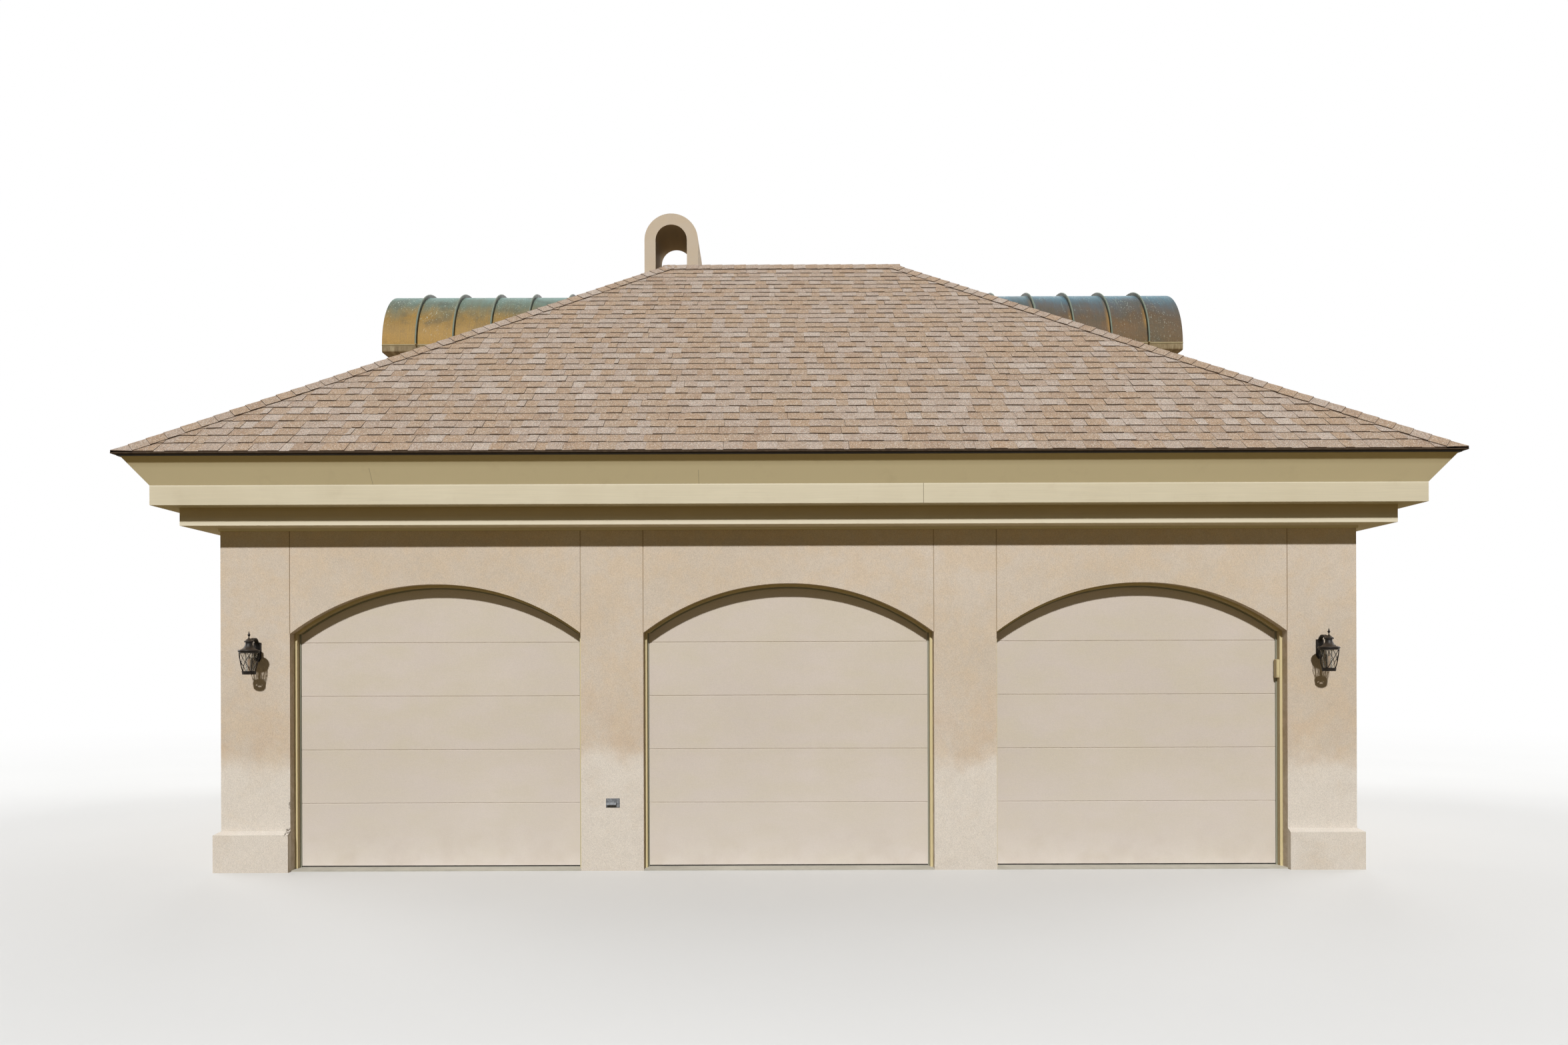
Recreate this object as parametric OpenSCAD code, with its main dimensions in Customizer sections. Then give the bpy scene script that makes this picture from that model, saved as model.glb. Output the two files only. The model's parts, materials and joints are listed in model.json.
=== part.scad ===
// Three-bay garage with a hip roof, two copper barrel dormers and an arched roof cupola.
// Millimetres. X runs along the front, Y to the rear, Z up. The origin is on the ground
// under the middle of the plan, and the front wall faces -Y.

/* [Plan] */
// Clear width of each arched door opening
door_open_w = 2460; // [2200:10:2800]
// Width of the piers at the two front corners
pier_outer = 585; // [400:5:900]
// Width of the two piers between the doors
pier_inner = 530; // [350:5:900]
// Depth of the walls from the front face to the rear face
wall_depth = 6940; // [6400:20:8000]
// Thickness of the stuccoed walls
wall_t = 150; // [120:5:180]

/* [Front wall] */
// Height of the springing of the door arches
spring_z = 2014; // [1900:1:2150]
// Rise of each door arch above its springing
arch_rise = 416; // [300:1:500]
// Width and depth of the control joints beside the arch heads
joint_w = 8; // [4:1:14]

/* [Plinth] */
// Height of the plinth round the wall foot
plinth_h = 345; // [200:5:500]
// Projection of the plinth from the wall
plinth_out = 48; // [20:1:80]
// Height of the sloping top of the plinth
plinth_bevel = 28; // [10:1:60]

/* [Cornice] */
// Height of the underside of the cornice
cornice_z = 2902; // [2800:1:3100]
// Height of the frieze band
frieze_h = 146; // [80:1:250]
// Projection of the frieze band from the wall
frieze_out = 220; // [120:1:300]
// Height of the bed strip on the wall under the frieze
bed_h = 20; // [10:1:40]
// Projection of the bed strip from the wall
bed_out = 12; // [6:1:30]
// Height of the fascia band
fascia_h = 160; // [80:1:250]
// Projection of the fascia band from the wall
fascia_out = 376; // [310:1:450]
// Height of the splayed board under the roof edge
splay_h = 208; // [100:1:260]
// Projection of the top of the splayed board
splay_out = 522; // [470:1:535]
// Height of the metal drip edge
drip_h = 13; // [8:1:45]
// Projection of the drip edge from the wall
drip_out = 540; // [536:1:560]

/* [Roof] */
// Projection of the shingle edge from the wall
eave_out = 572; // [565:1:620]
// Rise of the roof for each unit of run
roof_pitch = 0.746; // [0.700:0.001:0.800]
// Thickness of rafters and boards, square to the slope
roof_t = 150; // [100:5:170]
// Height of the shingle edge above the drip edge
shingle_edge = 8; // [4:1:20]
// Half width in plan of the cap shingles on hips and ridge
cap_half_w = 125; // [80:5:160]
// Height of the cap shingles above the slopes
cap_h = 12; // [6:1:20]

/* [Doors] */
// Thickness of the sectional door leaves
leaf_t = 45; // [35:1:60]
// Overlap of each leaf behind the wall at both jambs
leaf_lap = 25; // [15:1:60]
// Height of each of the three middle sections
section_h = 460; // [400:1:500]
// Height of the bottom section
bottom_section_h = 535; // [500:1:600]
// Height of the top section
top_section_h = 533; // [500:1:600]
// Gap between one section and the next
section_gap = 0.6; // [0.3:0.1:0.9]
// Chamfer on the front edges where two sections meet
section_bevel = 4; // [2:1:8]
// Face width of the trim board round each opening
trim_w = 22; // [16:1:40]
// Depth of the trim board from the leaf outward
trim_d = 62; // [50:1:80]
// Face width of the weather strip inside the trim board
strip_w = 11; // [6:1:20]
// Depth of the weather strip from the leaf outward
strip_d = 12; // [6:1:20]
// Height of the floor above the ground
floor_h = 10; // [6:1:20]
// Height of the seal under each leaf
seal_h = 12; // [8:1:30]

/* [Dormers] */
// Outer radius of the copper barrels
barrel_r = 740; // [700:5:780]
// Thickness of the barrel shell
barrel_t = 30; // [20:1:60]
// Height of the springing of the barrels above the edge of the roof
barrel_rise = 1863; // [1820:5:1900]
// Height of the upright band under the springing
band_h = 77; // [50:1:120]
// Radius of the bead along the springing of a barrel
bead_r = 7; // [4:1:12]
// Depth of the level soffit under the band, back to the dormer's cheeks
soffit_w = 200; // [150:5:240]
// Thickness of that soffit
soffit_t = 25; // [15:1:40]
// Rounding of the band's lower edge
band_round = 18; // [8:1:22]
// Distance of the open barrel ends in from the edge of the roof
barrel_end_in = 937; // [850:5:1000]
// Recess of the end walls behind the barrel ends
end_recess = 70; // [30:5:140]
// Thickness of the dormer walls
dormer_wall_t = 100; // [80:5:140]
// Distance of the first standing seam from the open end of a barrel
seam_in = 382; // [300:2:420]
// Spacing of the standing seams along a barrel
seam_pitch = 412; // [350:2:420]
// Height of a standing seam
seam_h = 38; // [24:1:50]
// Thickness of a standing seam
seam_t = 20; // [10:1:28]
// Number of standing seams on a barrel
seam_count = 5; // [4:1:5]

/* [Dormer windows] */
// Half width of the arched window openings
window_half_w = 320; // [260:10:350]
// Depth of the window sills below the springing of the barrels
sill_drop = 820; // [720:5:850]
// Depth of the springing of the window heads below that of the barrels
window_spring_drop = 70; // [40:5:150]
// Face width of the window frames
frame_w = 50; // [35:1:80]
// Depth of the window frames
frame_d = 60; // [40:1:80]
// Thickness of the glass
glass_t = 6; // [4:1:12]

/* [Cupola] */
// Distance of the cupola's middle from the left end of the ridge, towards the middle
cupola_in = 13; // [-100:1:200]
// Distance of the cupola's front face behind the ridge
cupola_y = 280; // [200:10:340]
// Depth of the cupola from front to rear
cupola_depth = 780; // [600:10:900]
// Outer width of the cupola
cupola_w = 645; // [560:5:720]
// Width of the arched tunnel through the cupola
tunnel_w = 378; // [300:2:440]
// Depth of the tunnel floor, on top of the curb, below the ridge
curb_drop = 58; // [0:2:120]
// Height of the cupola's legs, from the curb to the springing of its arch
cupola_leg_h = 480; // [400:5:600]

/* [Lanterns] */
// Height of the top of the finials
lantern_top_z = 2032; // [1950:1:2100]
// Distance of the lantern axes from the wall
lantern_reach = 150; // [140:1:180]
// Distance of the lantern axes inward from the middle of the outer piers
lantern_in = 22; // [0:1:60]

/* [Wall fittings] */
// Distance of the vent hood left of the middle
vent_x = 1490; // [1400:10:1560]
// Height of the middle of the vent hood
vent_z = 575; // [450:5:700]
// Height of the middle of the switch box
switch_z = 1695; // [1500:5:1800]

/* [Hidden] */
$fn = 64;

// Overrun of cutting tools past the faces they cut
over = 1;
// Far enough to pass the whole building
beyond = 20000;
// Offset along each wall that leaves a hairline at the mitres
mitre_gap = 0.2;

wall_w = 3 * door_open_w + 2 * pier_inner + 2 * pier_outer;
half_w = wall_w / 2;
half_d = wall_depth / 2;
bay_pitch = door_open_w + pier_inner;
door_half_w = door_open_w / 2;
arch_r = (door_half_w * door_half_w + arch_rise * arch_rise) / (2 * arch_rise);

fascia_z = cornice_z + frieze_h;
splay_z = fascia_z + fascia_h;
drip_z = splay_z + splay_h;
seat_z = drip_z + drip_h;
drip_inner_out = eave_out - 170;
eave_x = half_w + eave_out;
eave_y = half_d + eave_out;
eave_z = seat_z + shingle_edge;
ridge_half = eave_x - eave_y;
// Thickness of the roof measured upright
roof_drop = roof_t * sqrt(1 + roof_pitch * roof_pitch);
// Run over which a roof plane's rise is drawn, a round length that reaches past the ridge
slope_run = 5000;

leaf_y = -half_d + wall_t;
leaf_z = floor_h + seal_h;
leaf_w = door_open_w + 2 * leaf_lap;

ridge_z = eave_z + roof_pitch * eave_y;
barrel_end_x = eave_x - barrel_end_in;
barrel_spring_z = eave_z + barrel_rise;
cheek_half_w = barrel_r - soffit_w;
barrel_inner_r = barrel_r - barrel_t;
band_z = barrel_spring_z - band_h;
end_wall_x = barrel_end_x - end_recess;
window_sill_z = barrel_spring_z - sill_drop;
window_spring_z = barrel_spring_z - window_spring_drop;
// Width of roof boards left beside the hatch under each dormer
hatch_edge = 60;
hatch_half_w = cheek_half_w - dormer_wall_t - hatch_edge;
// Where the crown of a barrel's inside meets the slope
crown_x = eave_x - (barrel_rise + barrel_inner_r) / roof_pitch;
cupola_x = ridge_half - cupola_in;
curb_z = ridge_z - curb_drop;
cupola_spring_z = curb_z + cupola_leg_h;

// Runs a (Y, Z) outline along X between two places
module along_x(from, to) {
    translate([from, 0, 0]) rotate([90, 0, 90]) linear_extrude(to - from) children();
}

// Runs an (X, Z) outline along Y between two places
module along_y(from, to) {
    translate([0, to, 0]) rotate([90, 0, 0]) linear_extrude(to - from) children();
}

// Mirrors what was drawn for the right onto the left where side is -1
module on_side(side) {
    mirror([side < 0 ? 1 : 0, 0, 0]) children();
}

// Outline under one roof plane that starts at the eave line at (half, edge_z), level where it is above the ridge
module plane_outline(half, base_z, edge_z) {
    top_z = edge_z + roof_pitch * slope_run;
    polygon([
        [half, base_z], [half, edge_z], [half - slope_run, top_z], [-half, top_z], [-half, base_z]
    ]);
}

// Everything under four roof planes that meet the eave lines at edge_z
module hip_volume(base_z, edge_z) {
    intersection() {
        along_x(-eave_x, eave_x) intersection() {
            plane_outline(eave_y, base_z, edge_z);
            mirror([1, 0]) plane_outline(eave_y, base_z, edge_z);
        }
        along_y(-eave_y, eave_y) intersection() {
            plane_outline(eave_x, base_z, edge_z);
            mirror([1, 0]) plane_outline(eave_x, base_z, edge_z);
        }
    }
}

// The space below the underside of the rafters
module under_roof() {
    hip_volume(-over, eave_z - roof_drop);
}

// A block of wall whose top follows the rafters
module wall_block(x0, x1, y0, y1) {
    intersection() {
        translate([x0, y0, 0]) cube([x1 - x0, y1 - y0, ridge_z]);
        under_roof();
    }
}

// One straight run of moulding on each wall, mitred at the corners.
// face lists [projection, height] up the outer face, and inner is where the back lies.
module mitred_runs(face, inner, sides) {
    count = len(face);
    top = face[count - 1][1];
    reach = eave_out + 100;
    for (side = sides)
        intersection() {
            difference() {
                intersection() {
                    along_x(-half_w - reach, half_w + reach) polygon([
                        for (p = face) [half_d + p[0], p[1]],
                        for (i = [count - 1:-1:0]) [-half_d - face[i][0], face[i][1]]
                    ]);
                    along_y(-half_d - reach, half_d + reach) polygon([
                        for (p = face) [half_w + p[0], p[1]],
                        for (i = [count - 1:-1:0]) [-half_w - face[i][0], face[i][1]]
                    ]);
                }
                translate([-half_w - inner, -half_d - inner, face[0][1] - over])
                    cube([wall_w + 2 * inner, wall_depth + 2 * inner, top - face[0][1] + 2 * over]);
            }
            translate([0, 0, face[0][1] - over]) linear_extrude(top - face[0][1] + 2 * over)
                mitre_wedge(side, reach);
        }
}

// The plan area that belongs to one wall, between its two mitre lines
module mitre_wedge(side, reach) {
    wide = side == "front" || side == "rear" ? half_w : half_d;
    deep = side == "front" || side == "rear" ? half_d : half_w;
    turn = side == "front" ? 0 : side == "right" ? 90 : side == "rear" ? 180 : 270;
    rotate(turn) polygon([
        [-wide + mitre_gap, -deep], [-wide - reach + mitre_gap, -deep - reach],
        [wide + reach - mitre_gap, -deep - reach], [wide - mitre_gap, -deep]
    ]);
}

// Outline of a door opening, drawn from its own middle, narrowed all round by inset
module door_outline(inset, foot_z) {
    half = door_half_w - inset;
    intersection() {
        translate([-half, foot_z]) square([2 * half, spring_z + arch_rise]);
        union() {
            translate([0, spring_z + arch_rise - arch_r]) circle(r = arch_r - inset, $fn = 180);
            translate([-half, foot_z]) square([2 * half, spring_z - foot_z]);
        }
    }
}

// Outline of a round-headed window, narrowed all round by inset
module window_outline(inset) {
    half = window_half_w - inset;
    translate([0, window_spring_z]) circle(r = half, $fn = 96);
    translate([-half, window_sill_z + inset]) square([2 * half, window_spring_z - window_sill_z - inset]);
}

// An eight-sided bar between two points
module bar(a, b, r) {
    v = b - a;
    reach = norm(v);
    translate(a) rotate([0, acos(v[2] / reach), atan2(v[1], v[0])]) cylinder(h = reach, r = r, $fn = 8);
}

// Floor inside the walls, reaching out through the three door openings
module floor_slab() {
    color("silver") {
        translate([-half_w + wall_t, -half_d + wall_t, 0])
            cube([wall_w - 2 * wall_t, wall_depth - 2 * wall_t, floor_h]);
        for (bay = [-1:1])
            translate([bay * bay_pitch - door_half_w, -half_d, 0])
                cube([door_open_w, wall_t + over, floor_h]);
    }
}

// Front pier between two places along the wall
module front_pier(x0, x1) {
    color("antiquewhite") wall_block(x0, x1, -half_d, -half_d + wall_t);
}

// Wall over one door, with the arch cut from below and a control joint at each side
module arch_head(bay) {
    middle = bay * bay_pitch;
    color("antiquewhite") difference() {
        wall_block(middle - door_half_w, middle + door_half_w, -half_d, -half_d + wall_t);
        translate([middle, 0, 0]) along_y(-half_d - over, -half_d + wall_t + over) door_outline(0, -over);
        for (edge = [-1, 1])
            translate([middle + edge * door_half_w - joint_w / 2, -half_d - over, spring_z])
                cube([joint_w, joint_w / 2 + over, cornice_z - spring_z]);
    }
}

module wall_side(side) {
    color("antiquewhite") on_side(side)
        wall_block(half_w - wall_t, half_w, -half_d + wall_t, half_d - wall_t);
}

module wall_rear() {
    color("antiquewhite") wall_block(-half_w, half_w, half_d - wall_t, half_d);
}

// Plinth on the corner piers, the sides and the rear
module base_plinth() {
    color("wheat") difference() {
        mitred_runs(
            [[plinth_out, 0], [plinth_out, plinth_h - plinth_bevel], [0, plinth_h]],
            0, ["front", "right", "rear", "left"]
        );
        translate([-half_w + pier_outer, -half_d - plinth_out - over, -over])
            cube([wall_w - 2 * pier_outer, plinth_out + 2 * over, plinth_h + 2 * over]);
    }
}

module cornice_frieze() {
    color("cornsilk") mitred_runs(
        [
            [bed_out, cornice_z - bed_h], [bed_out, cornice_z],
            [frieze_out, cornice_z], [frieze_out, fascia_z]
        ],
        0, ["front", "right", "rear", "left"]
    );
}

module cornice_fascia() {
    color("cornsilk") mitred_runs(
        [[fascia_out, fascia_z], [fascia_out, splay_z]], 0, ["front", "right", "rear", "left"]
    );
}

module cornice_splay() {
    color("cornsilk") mitred_runs(
        [[fascia_out, splay_z], [splay_out, drip_z]], 0, ["front", "right", "rear", "left"]
    );
}

module drip_edge() {
    color("dimgray") mitred_runs(
        [[drip_out, drip_z], [drip_out, seat_z]], drip_inner_out, ["front", "right", "rear", "left"]
    );
}

// Rafters, boards and shingles of all four slopes
module roof_shell() {
    difference() {
        hip_volume(seat_z, eave_z);
        hip_volume(seat_z - roof_drop - over, eave_z - roof_drop);
    }
}

// Front or rear slope, cut to its hips
module roof_long(side) {
    color("tan") intersection() {
        roof_shell();
        translate([0, 0, seat_z - over]) linear_extrude(beyond) polygon([
            [-eave_x, side * eave_y], [eave_x, side * eave_y], [ridge_half, 0], [-ridge_half, 0]
        ]);
    }
}

// Left or right slope, with the hatch that opens into its dormer
module roof_end(side) {
    hatch_x = crown_x + 5 * hatch_edge;
    color("tan") on_side(side) difference() {
        intersection() {
            roof_shell();
            translate([0, 0, seat_z - over]) linear_extrude(beyond)
                polygon([[eave_x, -eave_y], [eave_x, eave_y], [ridge_half, 0]]);
        }
        translate([hatch_x, -hatch_half_w, seat_z])
            cube([end_wall_x - dormer_wall_t - hatch_x, 2 * hatch_half_w, beyond]);
    }
}

// Layer of cap shingles above a strip of the roof
module caps_over() {
    difference() {
        intersection() {
            hip_volume(seat_z, eave_z + cap_h);
            translate([0, 0, seat_z]) linear_extrude(beyond) children();
        }
        hip_volume(seat_z - over, eave_z);
    }
}

module ridge_cap() {
    color("rosybrown") caps_over()
        translate([-ridge_half, -cap_half_w]) square([2 * ridge_half, 2 * cap_half_w]);
}

// Cap shingles down the four hips, a hairline apart where two hips meet the ridge
module hip_caps() {
    color("rosybrown") for (x_turn = [0, 1], y_turn = [0, 1])
        difference() {
            caps_over() mirror([x_turn, 0]) mirror([0, y_turn]) intersection() {
                translate([ridge_half, 0]) rotate(45)
                    translate([-cap_half_w, -cap_half_w]) square([2 * eave_y, 2 * cap_half_w]);
                translate([ridge_half, mitre_gap]) square([eave_y + over, eave_y + over]);
            }
            cupola_footprint();
        }
}

// Room that the cupola takes from the caps
module cupola_footprint() {
    translate([-cupola_x - cupola_w / 2, cupola_y, seat_z]) cube([cupola_w, cupola_depth, beyond]);
}

// Half circle over the springing of a barrel
module half_round(r) {
    intersection() {
        translate([0, barrel_spring_z]) circle(r = r, $fn = 128);
        translate([-r, barrel_spring_z]) square([2 * r, r]);
    }
}

// Outline across a barrel: half round over an upright band, with a level soffit under it
module barrel_outline() {
    difference() {
        union() {
            half_round(barrel_r);
            translate([-barrel_r, band_z + band_round]) square([2 * barrel_r, band_h - band_round]);
            translate([-barrel_r + band_round, band_z]) square([2 * (barrel_r - band_round), band_h]);
            for (edge = [-1, 1]) {
                translate([edge * (barrel_r - band_round), band_z + band_round]) circle(r = band_round);
                translate([edge * barrel_r, barrel_spring_z]) circle(r = bead_r, $fn = 24);
            }
        }
        half_round(barrel_inner_r);
        translate([-barrel_inner_r, band_z + soffit_t]) square([2 * barrel_inner_r, band_h - soffit_t]);
        translate([-cheek_half_w, band_z - over]) square([2 * cheek_half_w, band_h]);
    }
}

// Standing seam with a rounded top, half way round a barrel at one place along it
module standing_seam(x) {
    seam_r = barrel_r + seam_h - seam_t / 2;
    root_r = barrel_r - barrel_t / 2;
    intersection() {
        translate([x, 0, barrel_spring_z]) rotate([0, 90, 0]) rotate_extrude($fn = 128) {
            translate([root_r, -seam_t / 2]) square([seam_r - root_r, seam_t]);
            translate([seam_r, 0]) circle(d = seam_t, $fn = 24);
        }
        translate([x - seam_t, -2 * barrel_r, barrel_spring_z]) cube([2 * seam_t, 4 * barrel_r, 2 * barrel_r]);
    }
}

// Copper barrel with its standing seams, cut to the roof slope
module dormer_barrel(side) {
    color("darkkhaki") on_side(side) difference() {
        union() {
            along_x(ridge_half, barrel_end_x) barrel_outline();
            for (i = [1:seam_count])
                standing_seam(barrel_end_x - seam_in - (i - 1) * seam_pitch);
        }
        hip_volume(seat_z, eave_z);
    }
}

// End wall of a dormer, with its round-headed window opening
module dormer_end_wall(side) {
    color("antiquewhite") on_side(side) difference() {
        along_x(end_wall_x - dormer_wall_t, end_wall_x) difference() {
            union() {
                half_round(barrel_inner_r);
                translate([-barrel_inner_r, band_z + soffit_t])
                    square([2 * barrel_inner_r, band_h - soffit_t]);
                translate([-cheek_half_w, eave_z])
                    square([2 * cheek_half_w, barrel_spring_z - eave_z]);
            }
            window_outline(0);
        }
        hip_volume(seat_z - over, eave_z);
    }
}

// The two side walls of a dormer, standing on the slope
module dormer_cheeks(side) {
    cheek_x = eave_x - barrel_rise / roof_pitch;
    color("antiquewhite") on_side(side) difference() {
        for (edge = [-1, 1])
            translate([cheek_x, edge * (cheek_half_w - dormer_wall_t / 2) - dormer_wall_t / 2, eave_z])
                cube([end_wall_x - dormer_wall_t - cheek_x, dormer_wall_t, barrel_spring_z - eave_z]);
        hip_volume(seat_z - over, eave_z);
    }
}

module dormer_window_frames() {
    frame_x = end_wall_x - (dormer_wall_t + frame_d) / 2;
    color("cornsilk") for (side = [-1, 1])
        on_side(side) along_x(frame_x, frame_x + frame_d) difference() {
            window_outline(0);
            window_outline(frame_w);
        }
}

module dormer_window_glass() {
    glass_x = end_wall_x - (dormer_wall_t + glass_t) / 2;
    color("lightblue") for (side = [-1, 1])
        on_side(side) along_x(glass_x, glass_x + glass_t) window_outline(frame_w);
}

// Solid stucco curb on the rear slope, under the arch
module cupola_curb() {
    color("antiquewhite") difference() {
        translate([-cupola_x - cupola_w / 2, cupola_y, seat_z])
            cube([cupola_w, cupola_depth, curb_z - seat_z]);
        hip_volume(seat_z - over, eave_z);
    }
}

// Open stucco arch with a round top and a tunnel from front to rear
module cupola_arch() {
    color("antiquewhite") difference() {
        cupola_block(cupola_w / 2, cupola_y, cupola_y + cupola_depth, curb_z);
        cupola_block(tunnel_w / 2, cupola_y - over, cupola_y + cupola_depth + over, curb_z - over);
        hip_volume(seat_z - over, eave_z);
    }
}

// Upright block with a half-round top
module cupola_block(half, y0, y1, foot_z) {
    translate([-cupola_x, 0, 0]) along_y(y0, y1) union() {
        translate([-half, foot_z]) square([2 * half, cupola_spring_z - foot_z]);
        translate([0, cupola_spring_z]) circle(r = half, $fn = 96);
    }
}

// Leaf of five flat sections, which lap at a tongue and groove
module door_leaf(bay) {
    heights = [bottom_section_h, section_h, section_h, section_h, top_section_h];
    color("linen") for (i = [0:4])
        translate([bay * bay_pitch, leaf_y, leaf_z])
            door_section(section_foot(heights, i), heights[i], i > 0, i < 4);
}

function section_foot(heights, i) = i == 0 ? 0 : section_foot(heights, i - 1) + heights[i - 1];

// One door section, with a groove below and a tongue above where it meets its neighbours
module door_section(foot, h, groove, tongue) {
    tongue_w = leaf_t / 3;
    tongue_h = 10;
    low = foot + (groove ? section_gap : 0);
    along_x(-leaf_w / 2, leaf_w / 2) difference() {
        union() {
            translate([0, low]) square([leaf_t, foot + h - low]);
            if (tongue)
                translate([(leaf_t - tongue_w) / 2, foot + h - over]) square([tongue_w, tongue_h + over]);
        }
        if (groove) {
            translate([(leaf_t - tongue_w) / 2 - section_gap, low - over])
                square([tongue_w + 2 * section_gap, tongue_h + over]);
            translate([0, low]) rotate(45) square(section_bevel * sqrt(2), center = true);
        }
        if (tongue)
            translate([0, foot + h]) rotate(45) square(section_bevel * sqrt(2), center = true);
    }
}

// Trim board inside an opening, with a weather strip between it and the leaf
module door_trim(bay) {
    color("cornsilk") translate([bay * bay_pitch, 0, 0]) {
        along_y(leaf_y - trim_d, leaf_y) difference() {
            door_outline(0, floor_h);
            door_outline(trim_w, floor_h - over);
        }
        along_y(leaf_y - strip_d, leaf_y) difference() {
            door_outline(trim_w - over, floor_h);
            door_outline(trim_w + strip_w, floor_h - over);
        }
    }
}

module door_seals() {
    color("gray") for (bay = [-1:1])
        translate([bay * bay_pitch - leaf_w / 2, leaf_y + leaf_t / 4, floor_h])
            cube([leaf_w, leaf_t / 2, seal_h]);
}

// Moves a lantern drawn about its own axis, with the wall at +Y, to its pier
module at_lantern(side) {
    translate([side * (half_w - pier_outer / 2 - lantern_in), -half_d - lantern_reach, lantern_top_z])
        children();
}

lantern_brim_r = 85;
lantern_neck_r = 27;
lantern_cage_r = 76;
lantern_foot_r = 50;
lantern_brim_drop = 156;
lantern_cage_drop = 182;
lantern_foot_drop = 332;
lantern_foot_h = 28;
lantern_rib_r = 4;
lantern_cross_r = 2.7;
// Outward bow of the cage's sides at half height
lantern_bow = 5;
// Straight steps that each curved bar of the cage is made of
lantern_steps = 4;

// Bell-shaped hood with its finial, measured down from the finial's tip
module lantern_hood() {
    sweep_r = lantern_brim_r - lantern_neck_r;
    rim_r = 8;
    collar_z = -92;
    translate([0, 0, -22]) cylinder(h = 22, r1 = 6, r2 = 1);
    translate([0, 0, -31]) sphere(r = 11);
    translate([0, 0, -58]) cylinder(h = 20, r = 4);
    translate([0, 0, collar_z + 10]) cylinder(h = 26, r1 = 33, r2 = 5);
    translate([0, 0, collar_z]) cylinder(h = 10, r = 37);
    translate([0, 0, -lantern_brim_drop]) rotate_extrude() difference() {
        square([lantern_brim_r - rim_r, lantern_brim_drop + collar_z + 2]);
        translate([lantern_brim_r + 4, sweep_r + 2]) circle(r = sweep_r + 4);
    }
    translate([0, 0, -lantern_brim_drop - rim_r]) rotate_extrude()
        translate([lantern_brim_r - rim_r, 0]) circle(r = rim_r, $fn = 24);
    translate([0, 0, -lantern_cage_drop])
        cylinder(h = lantern_cage_drop - lantern_brim_drop + 1, r = lantern_brim_r - rim_r + 2);
}

// Four bowed ribs, with a cross of thin bars in each panel between them
module lantern_cage() {
    ends = 6;
    for (i = [0:3]) {
        turn = 45 + 90 * i;
        cage_bar(turn, turn, lantern_rib_r, 0);
        cage_bar(turn + ends, turn + 90 - ends, lantern_cross_r, 0);
        cage_bar(turn + 90 - ends, turn + ends, lantern_cross_r * 0.8, lantern_cross_r);
    }
}

// Open ring at the foot of the cage, with crossed bars that carry the candle
module lantern_foot() {
    rim = lantern_foot_r + 6;
    bore = lantern_foot_r - 14;
    bar_w = 7;
    bar_h = 8;
    translate([0, 0, -lantern_foot_drop - lantern_foot_h]) difference() {
        cylinder(h = lantern_foot_h, r1 = rim - 4, r2 = rim);
        translate([0, 0, -over]) cylinder(h = lantern_foot_h + 2 * over, r = bore);
    }
    translate([0, 0, -lantern_foot_drop - bar_h]) {
        cylinder(h = bar_h, r = 14);
        for (turn = [45, 135])
            rotate(turn) translate([-bore - 2, -bar_w / 2, 0]) cube([2 * bore + 4, bar_w, bar_h]);
    }
}

// Bar of the cage from one bearing at its foot to another at its top, set in by inset
module cage_bar(foot_turn, top_turn, r, inset) {
    for (i = [0:lantern_steps - 1])
        bar(
            cage_point(foot_turn, top_turn, i / lantern_steps, inset),
            cage_point(foot_turn, top_turn, (i + 1) / lantern_steps, inset),
            r
        );
}

// Point on the cage's bowed surface, from its foot at t = 0 to its top at t = 1
function cage_point(foot_turn, top_turn, t, inset) =
    let (
        r = lantern_foot_r + (lantern_cage_r - lantern_foot_r) * t + 4 * lantern_bow * t * (1 - t) - inset,
        turn = foot_turn + (top_turn - foot_turn) * t,
        z = -lantern_foot_drop - 3 + (lantern_foot_drop - lantern_cage_drop + 6) * t
    ) [r * cos(turn), r * sin(turn), z];

// Wall plate and the curved arm that carries the hood
module lantern_bracket() {
    plate_w = 62;
    plate_t = 14;
    plate_top = -92;
    plate_foot = -256;
    foot_w = 24;
    taper_h = 34;
    arm_w = 32;
    arm_t = 12;
    arm_span = lantern_reach - plate_t - lantern_neck_r;
    arm_z = plate_top - 22;
    along_y(lantern_reach - plate_t, lantern_reach) polygon([
        [-plate_w / 2, plate_top], [plate_w / 2, plate_top], [plate_w / 2, plate_foot + taper_h],
        [foot_w / 2, plate_foot], [-foot_w / 2, plate_foot], [-plate_w / 2, plate_foot + taper_h]
    ]);
    translate([-arm_w / 2, lantern_reach - plate_t - arm_span / 2, arm_z]) rotate([90, 0, 90])
        linear_extrude(arm_w) intersection() {
            difference() {
                circle(r = (arm_span + arm_t) / 2);
                circle(r = (arm_span - arm_t) / 2);
            }
            translate([-arm_span, 0]) square([2 * arm_span, arm_span]);
        }
}

module lantern(side) {
    color("darkslategray") at_lantern(side) {
        lantern_hood();
        lantern_cage();
        lantern_foot();
        lantern_bracket();
    }
}

// Tapered glass inside each cage
module lantern_glass() {
    wall = 3;
    room = lantern_rib_r + 4;
    top_r = lantern_cage_r - room;
    foot_r = lantern_foot_r - room;
    tall = lantern_foot_drop - lantern_cage_drop;
    color("lightcyan") for (side = [-1, 1])
        at_lantern(side) translate([0, 0, -lantern_foot_drop]) difference() {
            cylinder(h = tall, r1 = foot_r, r2 = top_r);
            translate([0, 0, -over]) cylinder(h = tall + 2 * over, r1 = foot_r - wall, r2 = top_r - wall);
        }
}

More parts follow.
